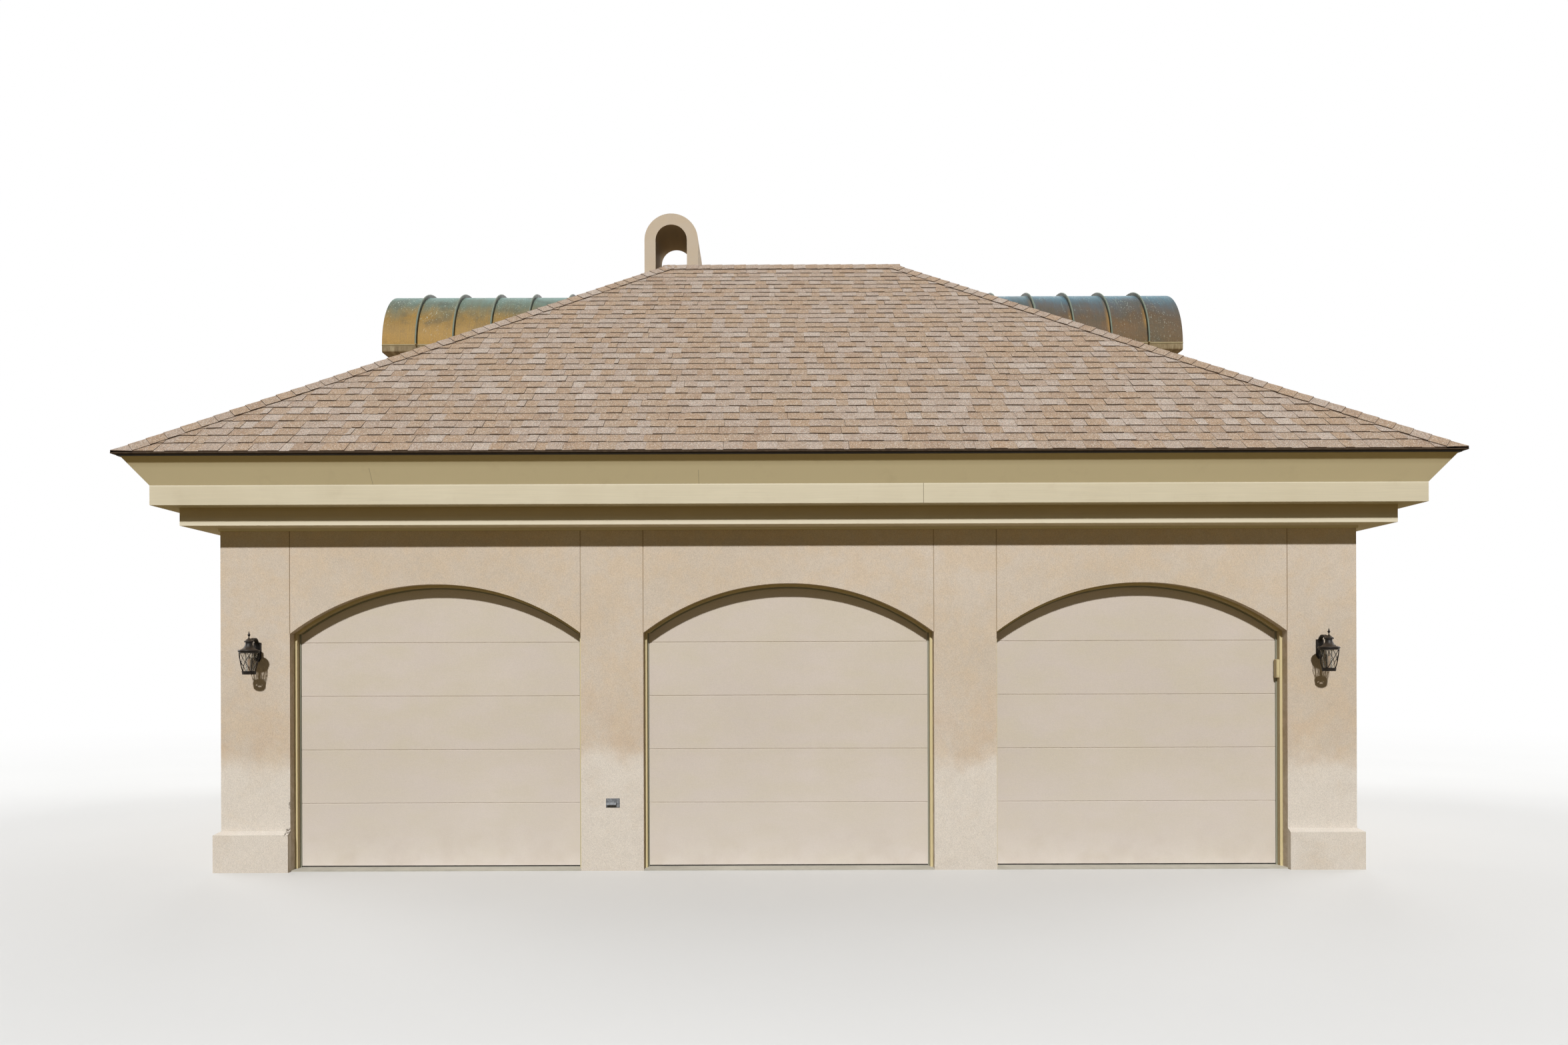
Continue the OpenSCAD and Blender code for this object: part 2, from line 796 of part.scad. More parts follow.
module lantern_candles() {
    color("ivory") for (side = [-1, 1])
        at_lantern(side) translate([0, 0, -lantern_foot_drop]) {
            cylinder(h = 95, r = 11);
            translate([0, 0, 95]) cylinder(h = 35, r1 = 8, r2 = 2);
        }
}

// Small louvre hood on the pier between the left and middle doors
module vent_hood() {
    plate_w = 116;
    plate_h = 76;
    plate_t = 6;
    hood_w = 80;
    hood_r = 30;
    hood_shift = 11;
    sheet = 3;
    color("gray") translate([-vent_x, -half_d, vent_z]) {
        translate([-plate_w / 2, -plate_t, -plate_h / 2]) cube([plate_w, plate_t, plate_h]);
        translate([-hood_shift, -plate_t, -hood_r / 2]) difference() {
            translate([-hood_w / 2, 0, 0]) rotate([0, 90, 0]) cylinder(h = hood_w, r = hood_r);
            translate([-hood_w / 2 + sheet, 0, 0]) rotate([0, 90, 0])
                cylinder(h = hood_w - 2 * sheet, r = hood_r - sheet);
            translate([-hood_w, -hood_r - over, -hood_r - over]) cube([2 * hood_w, 2 * hood_r + 2 * over, hood_r + over]);
            translate([-hood_w, 0, -hood_r]) cube([2 * hood_w, hood_r + over, 3 * hood_r]);
        }
    }
}

// Control box on the inner side of the trim board at the right of the right-hand door
module switch_box() {
    box_w = 27;
    box_h = 160;
    bevel = 4;
    back_y = leaf_y - strip_d - 1;
    front_y = leaf_y - trim_d;
    box_x = bay_pitch + door_half_w - trim_w - box_w / 2;
    color("wheat") translate([box_x, 0, switch_z]) {
        along_y(front_y + bevel, back_y) rounded_plate(box_w, box_h, 9);
        along_y(front_y, front_y + bevel + over) rounded_plate(box_w - 2 * bevel, box_h - 2 * bevel, 6);
    }
}

// Upright rectangle with rounded corners, about its middle
module rounded_plate(w, h, r) {
    square([w, h - 2 * r], center = true);
    square([w - 2 * r, h], center = true);
    for (x = [-1, 1], z = [-1, 1])
        translate([x * (w / 2 - r), z * (h / 2 - r)]) circle(r = r);
}

floor_slab();
front_pier(-half_w, -half_w + pier_outer);  // front_pier_left
front_pier(-bay_pitch + door_half_w, -door_half_w);  // front_pier_mid_left
front_pier(door_half_w, bay_pitch - door_half_w);  // front_pier_mid_right
front_pier(half_w - pier_outer, half_w);  // front_pier_right
arch_head(-1);  // arch_head_left
arch_head(0);  // arch_head_middle
arch_head(1);  // arch_head_right
wall_side(-1);  // wall_left
wall_side(1);  // wall_right
wall_rear();
base_plinth();
cornice_frieze();
cornice_fascia();
cornice_splay();
drip_edge();
roof_long(-1);  // roof_front
roof_long(1);  // roof_rear
roof_end(-1);  // roof_left
roof_end(1);  // roof_right
ridge_cap();
hip_caps();
dormer_barrel(-1);  // dormer_barrel_left
dormer_barrel(1);  // dormer_barrel_right
dormer_end_wall(-1);  // dormer_end_wall_left
dormer_end_wall(1);  // dormer_end_wall_right
dormer_cheeks(-1);  // dormer_cheeks_left
dormer_cheeks(1);  // dormer_cheeks_right
dormer_window_frames();
dormer_window_glass();
cupola_curb();
cupola_arch();
door_leaf(-1);  // door_left
door_leaf(0);  // door_middle
door_leaf(1);  // door_right
door_trim(-1);  // door_trim_left
door_trim(0);  // door_trim_middle
door_trim(1);  // door_trim_right
door_seals();
lantern(-1);  // lantern_left
lantern(1);  // lantern_right
lantern_glass();
lantern_candles();
vent_hood();
switch_box();
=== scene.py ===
"""Looks of the three-bay garage with roof cupola: materials, roofing, fittings, light and camera.

Lengths are in metres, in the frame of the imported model: X along the front, Y to the rear, Z up.
"""

import json
import math
import random

import bpy
from mathutils import Matrix, Vector


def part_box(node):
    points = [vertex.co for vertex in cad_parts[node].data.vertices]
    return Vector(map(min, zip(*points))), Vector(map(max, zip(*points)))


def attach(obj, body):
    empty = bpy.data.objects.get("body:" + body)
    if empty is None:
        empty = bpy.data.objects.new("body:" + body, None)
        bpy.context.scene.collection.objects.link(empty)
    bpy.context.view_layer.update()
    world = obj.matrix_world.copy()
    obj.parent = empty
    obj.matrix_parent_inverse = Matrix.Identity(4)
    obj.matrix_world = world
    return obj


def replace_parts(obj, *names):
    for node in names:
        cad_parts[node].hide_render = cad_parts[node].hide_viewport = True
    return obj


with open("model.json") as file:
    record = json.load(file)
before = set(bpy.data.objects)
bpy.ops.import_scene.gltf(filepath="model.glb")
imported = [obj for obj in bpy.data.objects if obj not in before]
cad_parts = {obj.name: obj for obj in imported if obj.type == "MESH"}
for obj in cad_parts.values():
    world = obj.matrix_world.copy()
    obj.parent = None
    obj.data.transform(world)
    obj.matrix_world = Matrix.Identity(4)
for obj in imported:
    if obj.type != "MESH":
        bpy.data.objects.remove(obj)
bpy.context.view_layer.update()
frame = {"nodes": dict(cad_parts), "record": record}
NODES = frame["nodes"]

# Sizes read from the frame
FRONT_LOW, FRONT_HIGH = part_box("roof_front")
EAVE_X = FRONT_HIGH.x
EAVE_Y = -FRONT_LOW.y
RIDGE_Z = FRONT_HIGH.z
RIDGE_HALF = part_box("roof_right")[0].x
ROOF_EDGE_H = 0.008
EAVE_Z = FRONT_LOW.z + ROOF_EDGE_H
PITCH = (RIDGE_Z - EAVE_Z) / EAVE_Y
SLOPE = math.sqrt(1 + PITCH * PITCH)
WALL_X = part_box("wall_right")[1].x
FRONT_Y = -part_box("wall_rear")[1].y
PIER_EDGE_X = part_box("front_pier_left")[1].x
PLINTH_TOP_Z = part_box("base_plinth")[1].z
LEAF_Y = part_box("door_middle")[0].y
FRIEZE_LOW, FRIEZE_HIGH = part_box("cornice_frieze")
FASCIA_LOW, FASCIA_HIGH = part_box("cornice_fascia")
SPLAY_TOP_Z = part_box("cornice_splay")[1].z
CURB_LOW, CURB_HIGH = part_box("cupola_curb")
ARCH_LOW, ARCH_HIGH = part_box("cupola_arch")
CUPOLA_X = (ARCH_LOW.x + ARCH_HIGH.x) / 2
CHEEK_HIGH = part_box("dormer_cheeks_right")[1]
END_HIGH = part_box("dormer_end_wall_right")[1]
BARREL_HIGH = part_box("dormer_barrel_right")[1]
SPRING_Z = CHEEK_HIGH.z

# Sizes of the shingles, barrels and door surrounds
EXPOSURE = 0.143
COURSE = EXPOSURE / SLOPE
FIRST_COURSE_EXTRA = 0.0096
STRIP_W = 1.0
CAP_HALF_W = 0.125
BARREL_R = 0.740
BARREL_INNER_R = 0.710
SEAM_IN = 0.382
SEAM_PITCH = 0.412
TUNNEL_HALF = 0.189
DOOR_SPRING_Z = 2.014
TRIM_DEPTH = 0.062
BED_STRIP_H = 0.045

# Heights and depths that bound areas of a material
OVER_DOORS_Z = 2.5
OVER_CORNICE_Z = 3.5
BROWNER_FROM_Z = 5.6
FACE_SKIN = 0.004
JOINT_DEPTH = 0.0055
REVEAL_START = 0.006
REVEAL_END = 0.20


def srgb(red, green, blue):
    """A colour given as 0 to 255 in sRGB, as linear RGBA."""
    def linear(value):
        v = value / 255
        return v / 12.92 if v <= 0.04045 else ((v + 0.055) / 1.055) ** 2.4
    return (linear(red), linear(green), linear(blue), 1.0)


class Surface:
    """A node material, with short calls for its nodes."""

    def __init__(self, name, roughness=0.8, metallic=0.0, specular=0.5):
        self.material = bpy.data.materials.new(name)
        self.material.use_nodes = True
        self.tree = self.material.node_tree
        self.shader = self.tree.nodes["Principled BSDF"]
        self.shader.inputs["Roughness"].default_value = roughness
        self.shader.inputs["Metallic"].default_value = metallic
        self.shader.inputs["Specular IOR Level"].default_value = specular
        self.place = self.add("ShaderNodeTexCoord").outputs["Object"]
        split = self.add("ShaderNodeSeparateXYZ")
        self.put(self.place, split.inputs[0])
        self.x, self.y, self.z = split.outputs

    def add(self, kind, **settings):
        """A new node with these settings."""
        node = self.tree.nodes.new(kind)
        for key, value in settings.items():
            setattr(node, key, value)
        return node

    def put(self, value, socket):
        """Links a socket, or sets a plain value."""
        if isinstance(value, bpy.types.NodeSocket):
            self.tree.links.new(value, socket)
        else:
            socket.default_value = value

    def math(self, operation, a, b=0.0):
        """One operation of the Math node."""
        node = self.add("ShaderNodeMath", operation=operation)
        self.put(a, node.inputs[0])
        self.put(b, node.inputs[1])
        return node.outputs[0]

    def times(self, value, *factors):
        """The product of the values."""
        for factor in factors:
            value = self.math("MULTIPLY", value, factor)
        return value

    def plus(self, a, b):
        """The sum of two values."""
        return self.math("ADD", a, b)

    def minus(self, a, b):
        """The first value less the second."""
        return self.math("SUBTRACT", a, b)

    def size(self, value):
        """The value without its sign."""
        return self.math("ABSOLUTE", value)

    def gap(self, a, b):
        """How far two values are apart."""
        return self.size(self.minus(a, b))

    def over(self, value, limit):
        """1 where the value is over the limit, and 0 elsewhere."""
        return self.math("GREATER_THAN", value, limit)

    def under(self, value, limit):
        """1 where the value is under the limit, and 0 elsewhere."""
        return self.math("LESS_THAN", value, limit)

    def between(self, value, low, high):
        """1 where the value is between two limits, and 0 elsewhere."""
        return self.times(self.over(value, low), self.under(value, high))

    def stretched(self, scale):
        """The place, scaled by one factor for each axis."""
        node = self.add("ShaderNodeMapping")
        node.inputs["Scale"].default_value = scale
        self.put(self.place, node.inputs["Vector"])
        return node.outputs[0]

    def noise(self, scale, detail=3.0, roughness=0.5, place=None, distortion=0.0):
        """Cloudy noise from 0 to 1, most of it near 0.5."""
        node = self.add("ShaderNodeTexNoise")
        node.inputs["Scale"].default_value = scale
        node.inputs["Detail"].default_value = detail
        node.inputs["Roughness"].default_value = roughness
        node.inputs["Distortion"].default_value = distortion
        self.put(place or self.place, node.inputs["Vector"])
        return node.outputs["Fac"]

    def cells(self, scale, place=None, output="Distance"):
        """Round cells: the distance from each middle, or a random colour for each cell."""
        node = self.add("ShaderNodeTexVoronoi")
        node.inputs["Scale"].default_value = scale
        self.put(place or self.place, node.inputs["Vector"])
        return node.outputs[output]

    def attribute(self, name):
        """A value that the mesh holds for each face."""
        return self.add("ShaderNodeAttribute", attribute_name=name).outputs["Fac"]

    def fit(self, value, low, high, to_low=0.0, to_high=1.0, smooth=False):
        """The value brought from one range to another, and kept inside it."""
        curve = "SMOOTHSTEP" if smooth else "LINEAR"
        node = self.add("ShaderNodeMapRange", interpolation_type=curve)
        self.put(value, node.inputs["Value"])
        for socket, number in zip(node.inputs[1:5], (low, high, to_low, to_high)):
            socket.default_value = number
        return node.outputs[0]

    def ramp(self, factor, *stops):
        """Colour ramp from (place, colour) pairs."""
        node = self.add("ShaderNodeValToRGB")
        self.put(factor, node.inputs[0])
        elements = node.color_ramp.elements
        while len(elements) < len(stops):
            elements.new(1.0)
        for element, (where, colour) in zip(elements, stops):
            element.position = where
            element.color = colour
        return node.outputs[0]

    def blend(self, factor, first, second):
        """The first colour, turned into the second by the factor."""
        node = self.add("ShaderNodeMix", data_type="RGBA", clamp_factor=True)
        self.put(factor, node.inputs[0])
        self.put(first, node.inputs[6])
        self.put(second, node.inputs[7])
        return node.outputs[2]

    def tint(self, colour, other, *factors):
        """The colour, turned by the product of the factors into one given as 0 to 255."""
        return self.blend(self.times(*factors), colour, srgb(*other))

    def shade(self, colour, factor, low, high):
        """The colour, made darker or lighter by a factor that runs from low to high."""
        grey = self.fit(factor, 0.0, 1.0, low, high)
        node = self.add("ShaderNodeVectorMath", operation="SCALE")
        self.put(colour, node.inputs[0])
        self.put(grey, node.inputs["Scale"])
        return node.outputs[0]

    def bump(self, height, distance, strength, under=None):
        """A normal from a height, over another normal if one is given."""
        node = self.add("ShaderNodeBump")
        node.inputs["Strength"].default_value = strength
        node.inputs["Distance"].default_value = distance
        self.put(height, node.inputs["Height"])
        if under is not None:
            self.put(under, node.inputs["Normal"])
        return node.outputs[0]

    def done(self, colour, normal=None, roughness=None):
        """Links what was made to the shader, and gives the material."""
        for value, name in ((colour, "Base Color"), (normal, "Normal"), (roughness, "Roughness")):
            if value is not None:
                self.put(value, self.shader.inputs[name])
        return self.material


# Materials

def stucco():
    """Sand-finished stucco, whiter and blotchy near the ground, with painted shade in the door
    recesses and the cupola's tunnel.
    """
    s = Surface("stucco_sand_finish", roughness=0.92, specular=0.2)
    cloud = s.noise(0.7, detail=5, roughness=0.6)
    colour = s.ramp(
        cloud, (0.30, srgb(202, 188, 170)), (0.52, srgb(208, 195, 179)), (0.75, srgb(214, 202, 188))
    )
    warm = s.fit(s.noise(5.0, detail=5, roughness=0.7), 0.42, 0.62, 0.0, 0.42)
    colour = s.tint(colour, (213, 191, 162), warm)
    colour = washed_foot(s, colour)
    trowel = s.noise(9.0, detail=4, roughness=0.6, distortion=0.4)
    colour = s.shade(colour, trowel, 0.95, 1.05)
    on_roof = s.fit(s.z, BROWNER_FROM_Z, BROWNER_FROM_Z + 1.0, 0.0, 0.55)
    colour = s.tint(colour, (190, 174, 150), on_roof)
    sand = s.noise(150.0, detail=3, roughness=0.8)
    colour = s.shade(colour, s.fit(sand, 0.34, 0.66), 0.86, 1.14)
    colour = control_joints(s, colour)
    colour = chipped_arris(s, colour)
    colour = painted_reveal_shade(s, colour)
    colour = shaded_tunnel(s, colour)
    normal = s.bump(trowel, 0.006, 0.30, s.bump(sand, 0.004, 0.6))
    return s.done(colour, normal)


def washed_foot(s, colour):
    """Wall bleached by splashing water up to about 1 m, with a warm stain above that."""
    blotch = s.noise(2.6, detail=6, roughness=0.7, distortion=0.3)
    wander = s.times(s.minus(s.noise(1.4, detail=4, roughness=0.6), 0.5), 0.7)
    above = s.minus(s.z, s.plus(wander, 0.95))
    share = s.fit(s.y, FRONT_Y + FACE_SKIN, FRONT_Y + 0.05, 1.0, 0.55)
    stain = s.times(s.fit(above, 0.75, 0.05), s.fit(blotch, 0.42, 0.60))
    colour = s.tint(colour, (200, 174, 146), stain, share, 0.40)
    pale = s.times(s.fit(above, 0.11, -0.13, smooth=True), s.fit(blotch, 0.30, 0.50, 0.55, 1.0))
    colour = s.tint(colour, (225, 218, 208), pale, share, 0.80)
    dirty = s.times(s.fit(s.z, 0.50, 0.05), s.fit(blotch, 0.56, 0.74))
    return s.tint(colour, (176, 164, 146), dirty, 0.25)


def control_joints(s, colour):
    """Dark filler in the six control joints over the door jambs."""
    half_w = 0.0042
    near = None
    for low, high in (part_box(f"arch_head_{bay}") for bay in ("left", "middle", "right")):
        for edge_x in (low.x, high.x):
            here = s.under(s.gap(s.x, edge_x), half_w)
            near = here if near is None else s.math("MAXIMUM", near, here)
    joint = s.times(near, s.over(s.z, DOOR_SPRING_Z), s.under(s.y, FRONT_Y + JOINT_DEPTH))
    return s.tint(colour, (146, 122, 88), joint, 0.5)


def chipped_arris(s, colour):
    """Dark chips in the stucco beside the left door, at the plinth's top and above it."""
    ragged = s.fit(s.noise(55.0, detail=4, roughness=0.7), 0.47, 0.52)
    on_face = s.under(s.y, FRONT_Y + FACE_SKIN)
    for place_x, half_w, place_z, half_h in (
        (PIER_EDGE_X - 0.016, 0.024, PLINTH_TOP_Z - 0.004, 0.036),
        (PIER_EDGE_X - 0.006, 0.008, PLINTH_TOP_Z + 0.22, 0.050)
    ):
        beside = s.fit(s.gap(s.x, place_x), half_w, half_w * 0.6)
        level = s.fit(s.gap(s.z, place_z), half_h, half_h * 0.6)
        chip = s.times(beside, level, ragged, on_face)
        colour = s.tint(colour, (84, 72, 58), chip, 0.75)
    return colour


def painted_reveal_shade(s, colour):
    """Painted shade: browner stucco in the door recesses, away from the outer corners."""
    corner = 0.02
    recess = s.times(
        s.between(s.y, FRONT_Y + REVEAL_START, FRONT_Y + REVEAL_END),
        s.under(s.z, OVER_DOORS_Z), s.under(s.size(s.x), WALL_X - corner)
    )
    # Painted shade: patchy browner tone on the reveals.
    reveal_shade = s.fit(s.noise(14.0, detail=5, roughness=0.75), 0.35, 0.62, 0.20, 0.60)
    return s.tint(colour, (160, 140, 110), recess, reveal_shade)


def shaded_tunnel(s, colour):
    """Darker stucco inside the cupola's tunnel."""
    slack = 0.002
    ring = 0.125
    tunnel = s.times(
        s.under(s.gap(s.x, CUPOLA_X), TUNNEL_HALF + slack),
        s.between(s.y, ARCH_LOW.y + FACE_SKIN, ARCH_HIGH.y - FACE_SKIN),
        s.between(s.z, ARCH_LOW.z, ARCH_HIGH.z - ring)
    )
    return s.tint(colour, (134, 114, 82), tunnel, 0.8)


def painted_trim():
    """Painted boards of the cornice and the door surrounds."""
    s = Surface("trim_paint", roughness=0.5, specular=0.35)
    colour = s.ramp(s.noise(1.6, detail=4), (0.3, srgb(204, 194, 168)), (0.7, srgb(211, 202, 177)))
    brush = s.noise(1.0, detail=3, place=s.stretched((3.0, 3.0, 160.0)))
    colour = s.shade(colour, s.fit(brush, 0.30, 0.70), 0.965, 1.035)
    colour = cornice_painted_light(s, colour)
    colour = door_surround(s, colour)
    colour = board_joints(s, colour)
    grime = s.fit(s.noise(4.0, detail=5, roughness=0.7), 0.56, 0.80, 0.0, 0.12)
    colour = s.tint(colour, (150, 130, 98), grime)
    return s.done(colour, s.bump(brush, 0.0006, 0.5))


def cornice_painted_light(s, colour):
    """Painted light on the cornice: highlights on the fascia's top arris and the foot of the
    frieze, painted bounce light on the splay, olive painted shade on the underside, and painted
    shade under the drip edge and the fascia.
    """
    on_cornice = s.over(s.z, OVER_DOORS_Z)
    strip_top = FRIEZE_LOW.z + BED_STRIP_H
    # Painted highlight on the fascia's top arris, and on the foot of the frieze and the bed strip.
    arris = s.fit(s.gap(s.z, FASCIA_HIGH.z - 0.004), 0.006, 0.003)
    strip = s.times(s.fit(s.z, strip_top + 0.010, strip_top - 0.010), on_cornice)
    colour = s.tint(colour, (230, 222, 200), s.math("MAXIMUM", arris, strip), 0.6)
    # Olive painted shade on the underside of the frieze.
    soffit_shade = s.times(s.under(s.z, FRIEZE_LOW.z + 0.002), on_cornice)
    colour = s.tint(colour, (190, 180, 112), soffit_shade, 0.6)
    # Painted bounce light: the splay paler than the other boards.
    splay = s.between(s.z, FASCIA_HIGH.z + 0.0005, OVER_CORNICE_Z)
    colour = s.tint(colour, (230, 217, 178), splay, 0.9)
    # Painted shade on the splay under the drip edge.
    shade_under_drip = s.fit(s.z, SPLAY_TOP_Z - 0.085, SPLAY_TOP_Z - 0.035, 0.0, 0.45)
    colour = s.tint(colour, (170, 152, 108), splay, shade_under_drip)
    # Painted shade at the top of the frieze, under the fascia.
    frieze = s.between(s.z, FRIEZE_LOW.z, FASCIA_LOW.z)
    shade_under_fascia = s.fit(s.z, FASCIA_LOW.z - 0.12, FASCIA_LOW.z - 0.07, 0.0, 0.6)
    return s.tint(colour, (176, 154, 104), frieze, shade_under_fascia)


def door_surround(s, colour):
    """Painted shade on the sides of the boards round the doors, their front faces back to a paler
    cream, and the weather strip.
    """
    lining = s.times(s.between(s.y, FRONT_Y + FACE_SKIN, LEAF_Y + 0.03), s.under(s.z, OVER_DOORS_Z))
    # Painted shade: ochre on the sides of the boards in the door recesses.
    colour = s.tint(colour, (170, 151, 108), lining, 0.8)
    face = s.times(lining, s.under(s.y, LEAF_Y - TRIM_DEPTH + 0.0006))
    colour = s.tint(colour, (210, 196, 152), face, 0.85)
    strip = s.times(lining, s.over(s.y, LEAF_Y - 0.0135))
    return s.tint(colour, (142, 142, 126), strip)


def board_joints(s, colour):
    """Hairline butt joints where two lengths of cornice board meet."""
    half_w = 0.0022
    outside = s.over(s.size(s.y), FRIEZE_HIGH.y + 0.02)
    for place_x, low_z, high_z, share in (
        (1.09, FASCIA_LOW.z, FASCIA_HIGH.z, 0.75),
        (-3.37, FASCIA_HIGH.z, FASCIA_HIGH.z + 0.12, 0.35),
        (-0.73, FASCIA_HIGH.z, FASCIA_HIGH.z + 0.10, 0.35)
    ):
        joint = s.times(
            s.under(s.gap(s.x, place_x), half_w), s.between(s.z, low_z, high_z), outside
        )
        colour = s.tint(colour, (96, 80, 54), joint, share)
    return colour


def drip_metal():
    """Dark bronze-coloured sheet of the drip edge."""
    s = Surface("drip_edge_bronze", roughness=0.45)
    colour = s.ramp(s.noise(6.0, detail=4), (0.3, srgb(42, 36, 28)), (0.7, srgb(58, 50, 40)))
    return s.done(colour, s.bump(s.noise(40.0), 0.0005, 0.4))


def shingle():
    """Mineral granules, tinted for each shingle, with bare dark asphalt on the cut edges."""
    s = Surface("asphalt_shingles", roughness=0.95, specular=0.15)
    colour = s.ramp(
        s.attribute("tone"),
        (0.0, srgb(159, 138, 119)), (0.20, srgb(169, 146, 123)), (0.42, srgb(168, 149, 130)),
        (0.64, srgb(168, 151, 136)), (0.84, srgb(173, 158, 145)), (1.0, srgb(183, 170, 158))
    )
    coarse = s.noise(95.0, detail=2, roughness=0.8)
    fine = s.noise(260.0, detail=1, roughness=0.6)
    colour = s.shade(colour, s.fit(coarse, 0.36, 0.64), 0.76, 1.24)
    colour = s.shade(colour, s.fit(fine, 0.36, 0.64), 0.72, 1.28)
    chip = s.add("ShaderNodeSeparateColor")
    s.put(s.cells(140.0, output="Color"), chip.inputs[0])
    dark, pale, warm = chip.outputs
    colour = s.tint(colour, (112, 90, 74), s.over(dark, 0.86), 0.50)
    colour = s.tint(colour, (228, 220, 208), s.over(pale, 0.87), 0.45)
    colour = s.tint(colour, (196, 154, 118), s.over(warm, 0.80), 0.30)
    colour = s.shade(colour, s.noise(0.55, detail=3), 0.985, 1.015)
    colour = s.tint(colour, (64, 50, 38), s.attribute("edge"))
    return s.done(colour, s.bump(coarse, 0.003, 0.6, s.bump(fine, 0.0012, 0.6)))


def underlay():
    """The slope under the shingles, which only shows in the slits between them."""
    s = Surface("roof_boards", roughness=0.9, specular=0.2)
    colour = s.ramp(s.noise(30.0), (0.3, srgb(62, 50, 40)), (0.7, srgb(84, 70, 56)))
    return s.done(colour, s.bump(s.noise(80.0), 0.001, 0.5))


def copper(name, skirt, flank, shoulder, crown, top, glow):
    """Weathered copper: green to blue on the crown, ochre to brown down the flanks, with drips, and
    painted highlights at the seams and the bead.
    """
    s = Surface(name, roughness=0.55, specular=0.25)
    height = s.minus(s.z, SPRING_Z)
    sideways = s.noise(1.3, detail=5, roughness=0.62, place=s.stretched((1.6, 1.0, 1.0)))
    fringe = s.noise(1.0, detail=4, roughness=0.6, place=s.stretched((26.0, 1.5, 1.5)))
    wander = s.plus(s.times(s.minus(sideways, 0.5), 0.42), s.times(s.minus(fringe, 0.5), 0.16))
    level = s.math("DIVIDE", s.plus(height, wander), BARREL_R)
    colour = s.ramp(
        level, (0.05, skirt), (0.42, flank), (0.68, shoulder), (0.90, crown), (1.0, crown)
    )
    weather = s.fit(s.math("DIVIDE", height, BARREL_R), 0.945, 0.985, 0.0, 0.85)
    colour = s.blend(weather, colour, top)
    warm = s.fit(s.noise(1.9, detail=4, roughness=0.6, distortion=0.5), 0.48, 0.66)
    colour = s.blend(s.times(warm, s.fit(level, 0.72, 0.40), 0.7), colour, glow)
    dull = s.fit(s.noise(2.4, detail=4, roughness=0.65, distortion=0.4), 0.52, 0.68, 0.0, 0.55)
    colour = s.tint(colour, (76, 78, 66), dull)
    streaks = s.noise(1.0, detail=6, roughness=0.75, place=s.stretched((60.0, 2.6, 2.6)))
    colour = s.shade(colour, s.fit(streaks, 0.30, 0.70), 0.88, 1.12)
    grit = s.noise(90.0, detail=2, roughness=0.7)
    colour = s.shade(colour, s.fit(grit, 0.35, 0.65), 0.88, 1.12)
    colour = copper_drips(s, colour, level)
    colour = painted_seam_light(s, colour)
    colour = copper_seams(s, colour, height)
    normal = s.bump(s.noise(2.2, detail=2), 0.02, 0.30, s.bump(streaks, 0.001, 0.35))
    return s.done(colour, normal, s.fit(streaks, 0.3, 0.7, 0.45, 0.66))


def copper_drips(s, colour, level):
    """Short pale drips and specks of patina, most of them near the crown."""
    here = s.times(s.fit(s.noise(2.7, detail=3), 0.42, 0.58), s.fit(level, 0.20, 0.85, 0.30, 1.0))
    for scale, tall, size in ((30.0, 0.36, 0.19), (52.0, 0.60, 0.24)):
        specks = s.cells(scale, place=s.stretched((1.0, tall, tall)))
        spot = s.times(s.fit(specks, size, size * 0.5), here)
        colour = s.tint(colour, (200, 208, 192), spot, 0.75)
    runs = s.noise(1.0, detail=3, roughness=0.6, place=s.stretched((48.0, 3.4, 3.4)))
    run = s.times(s.fit(runs, 0.62, 0.70), s.fit(level, 0.45, 0.95, 0.0, 0.5))
    return s.tint(colour, (150, 172, 160), run)


def painted_seam_light(s, colour):
    """Painted highlight: an ochre streak on the lit left side of each seam, strongest low on the
    flank.
    """
    across = s.minus(BARREL_HIGH.x - SEAM_IN, s.size(s.x))
    turns = s.math("DIVIDE", across, SEAM_PITCH)
    beside = s.minus(turns, s.math("ROUND", turns))
    reach = s.times(beside, s.math("SIGN", s.x), SEAM_PITCH)
    ragged = s.noise(1.0, detail=4, place=s.stretched((9.0, 3.0, 3.0)))
    share = s.times(
        s.fit(reach, 0.050, 0.008), s.over(reach, -0.002), s.over(turns, -0.5),
        s.fit(s.z, SPRING_Z + 0.62, SPRING_Z + 0.20, 0.15, 0.75), s.fit(ragged, 0.35, 0.6)
    )
    return s.tint(colour, (172, 132, 66), share)


def copper_seams(s, colour, height):
    """Dark standing seams with a painted highlight along their tops, and a brownish skirt with a
    painted highlight on its bead.
    """
    reach = s.math("SQRT", s.plus(s.times(s.y, s.y), s.times(height, height)))
    seam_top = BARREL_HIGH.z - SPRING_Z
    seam = s.times(s.over(reach, BARREL_R + 0.003), s.over(height, 0.0))
    metal = s.ramp(
        s.noise(16.0, detail=5, roughness=0.7), (0.35, srgb(34, 37, 30)), (0.65, srgb(68, 74, 60))
    )
    # Painted highlight along the top of each seam.
    rim = s.fit(reach, seam_top - 0.006, seam_top - 0.001, 0.0, 0.5)
    colour = s.blend(seam, colour, s.blend(rim, metal, srgb(150, 164, 146)))
    skirt = s.ramp(
        s.noise(1.0, detail=5, roughness=0.7, place=s.stretched((22.0, 2.0, 5.0))),
        (0.32, srgb(104, 89, 63)), (0.50, srgb(130, 113, 82)), (0.68, srgb(158, 145, 114))
    )
    colour = s.blend(s.under(height, 0.012), colour, skirt)
    # Painted highlight on the bead at the springing.
    bead_highlight = s.under(s.size(height), 0.011)
    return s.tint(colour, (170, 158, 122), bead_highlight, 0.6)


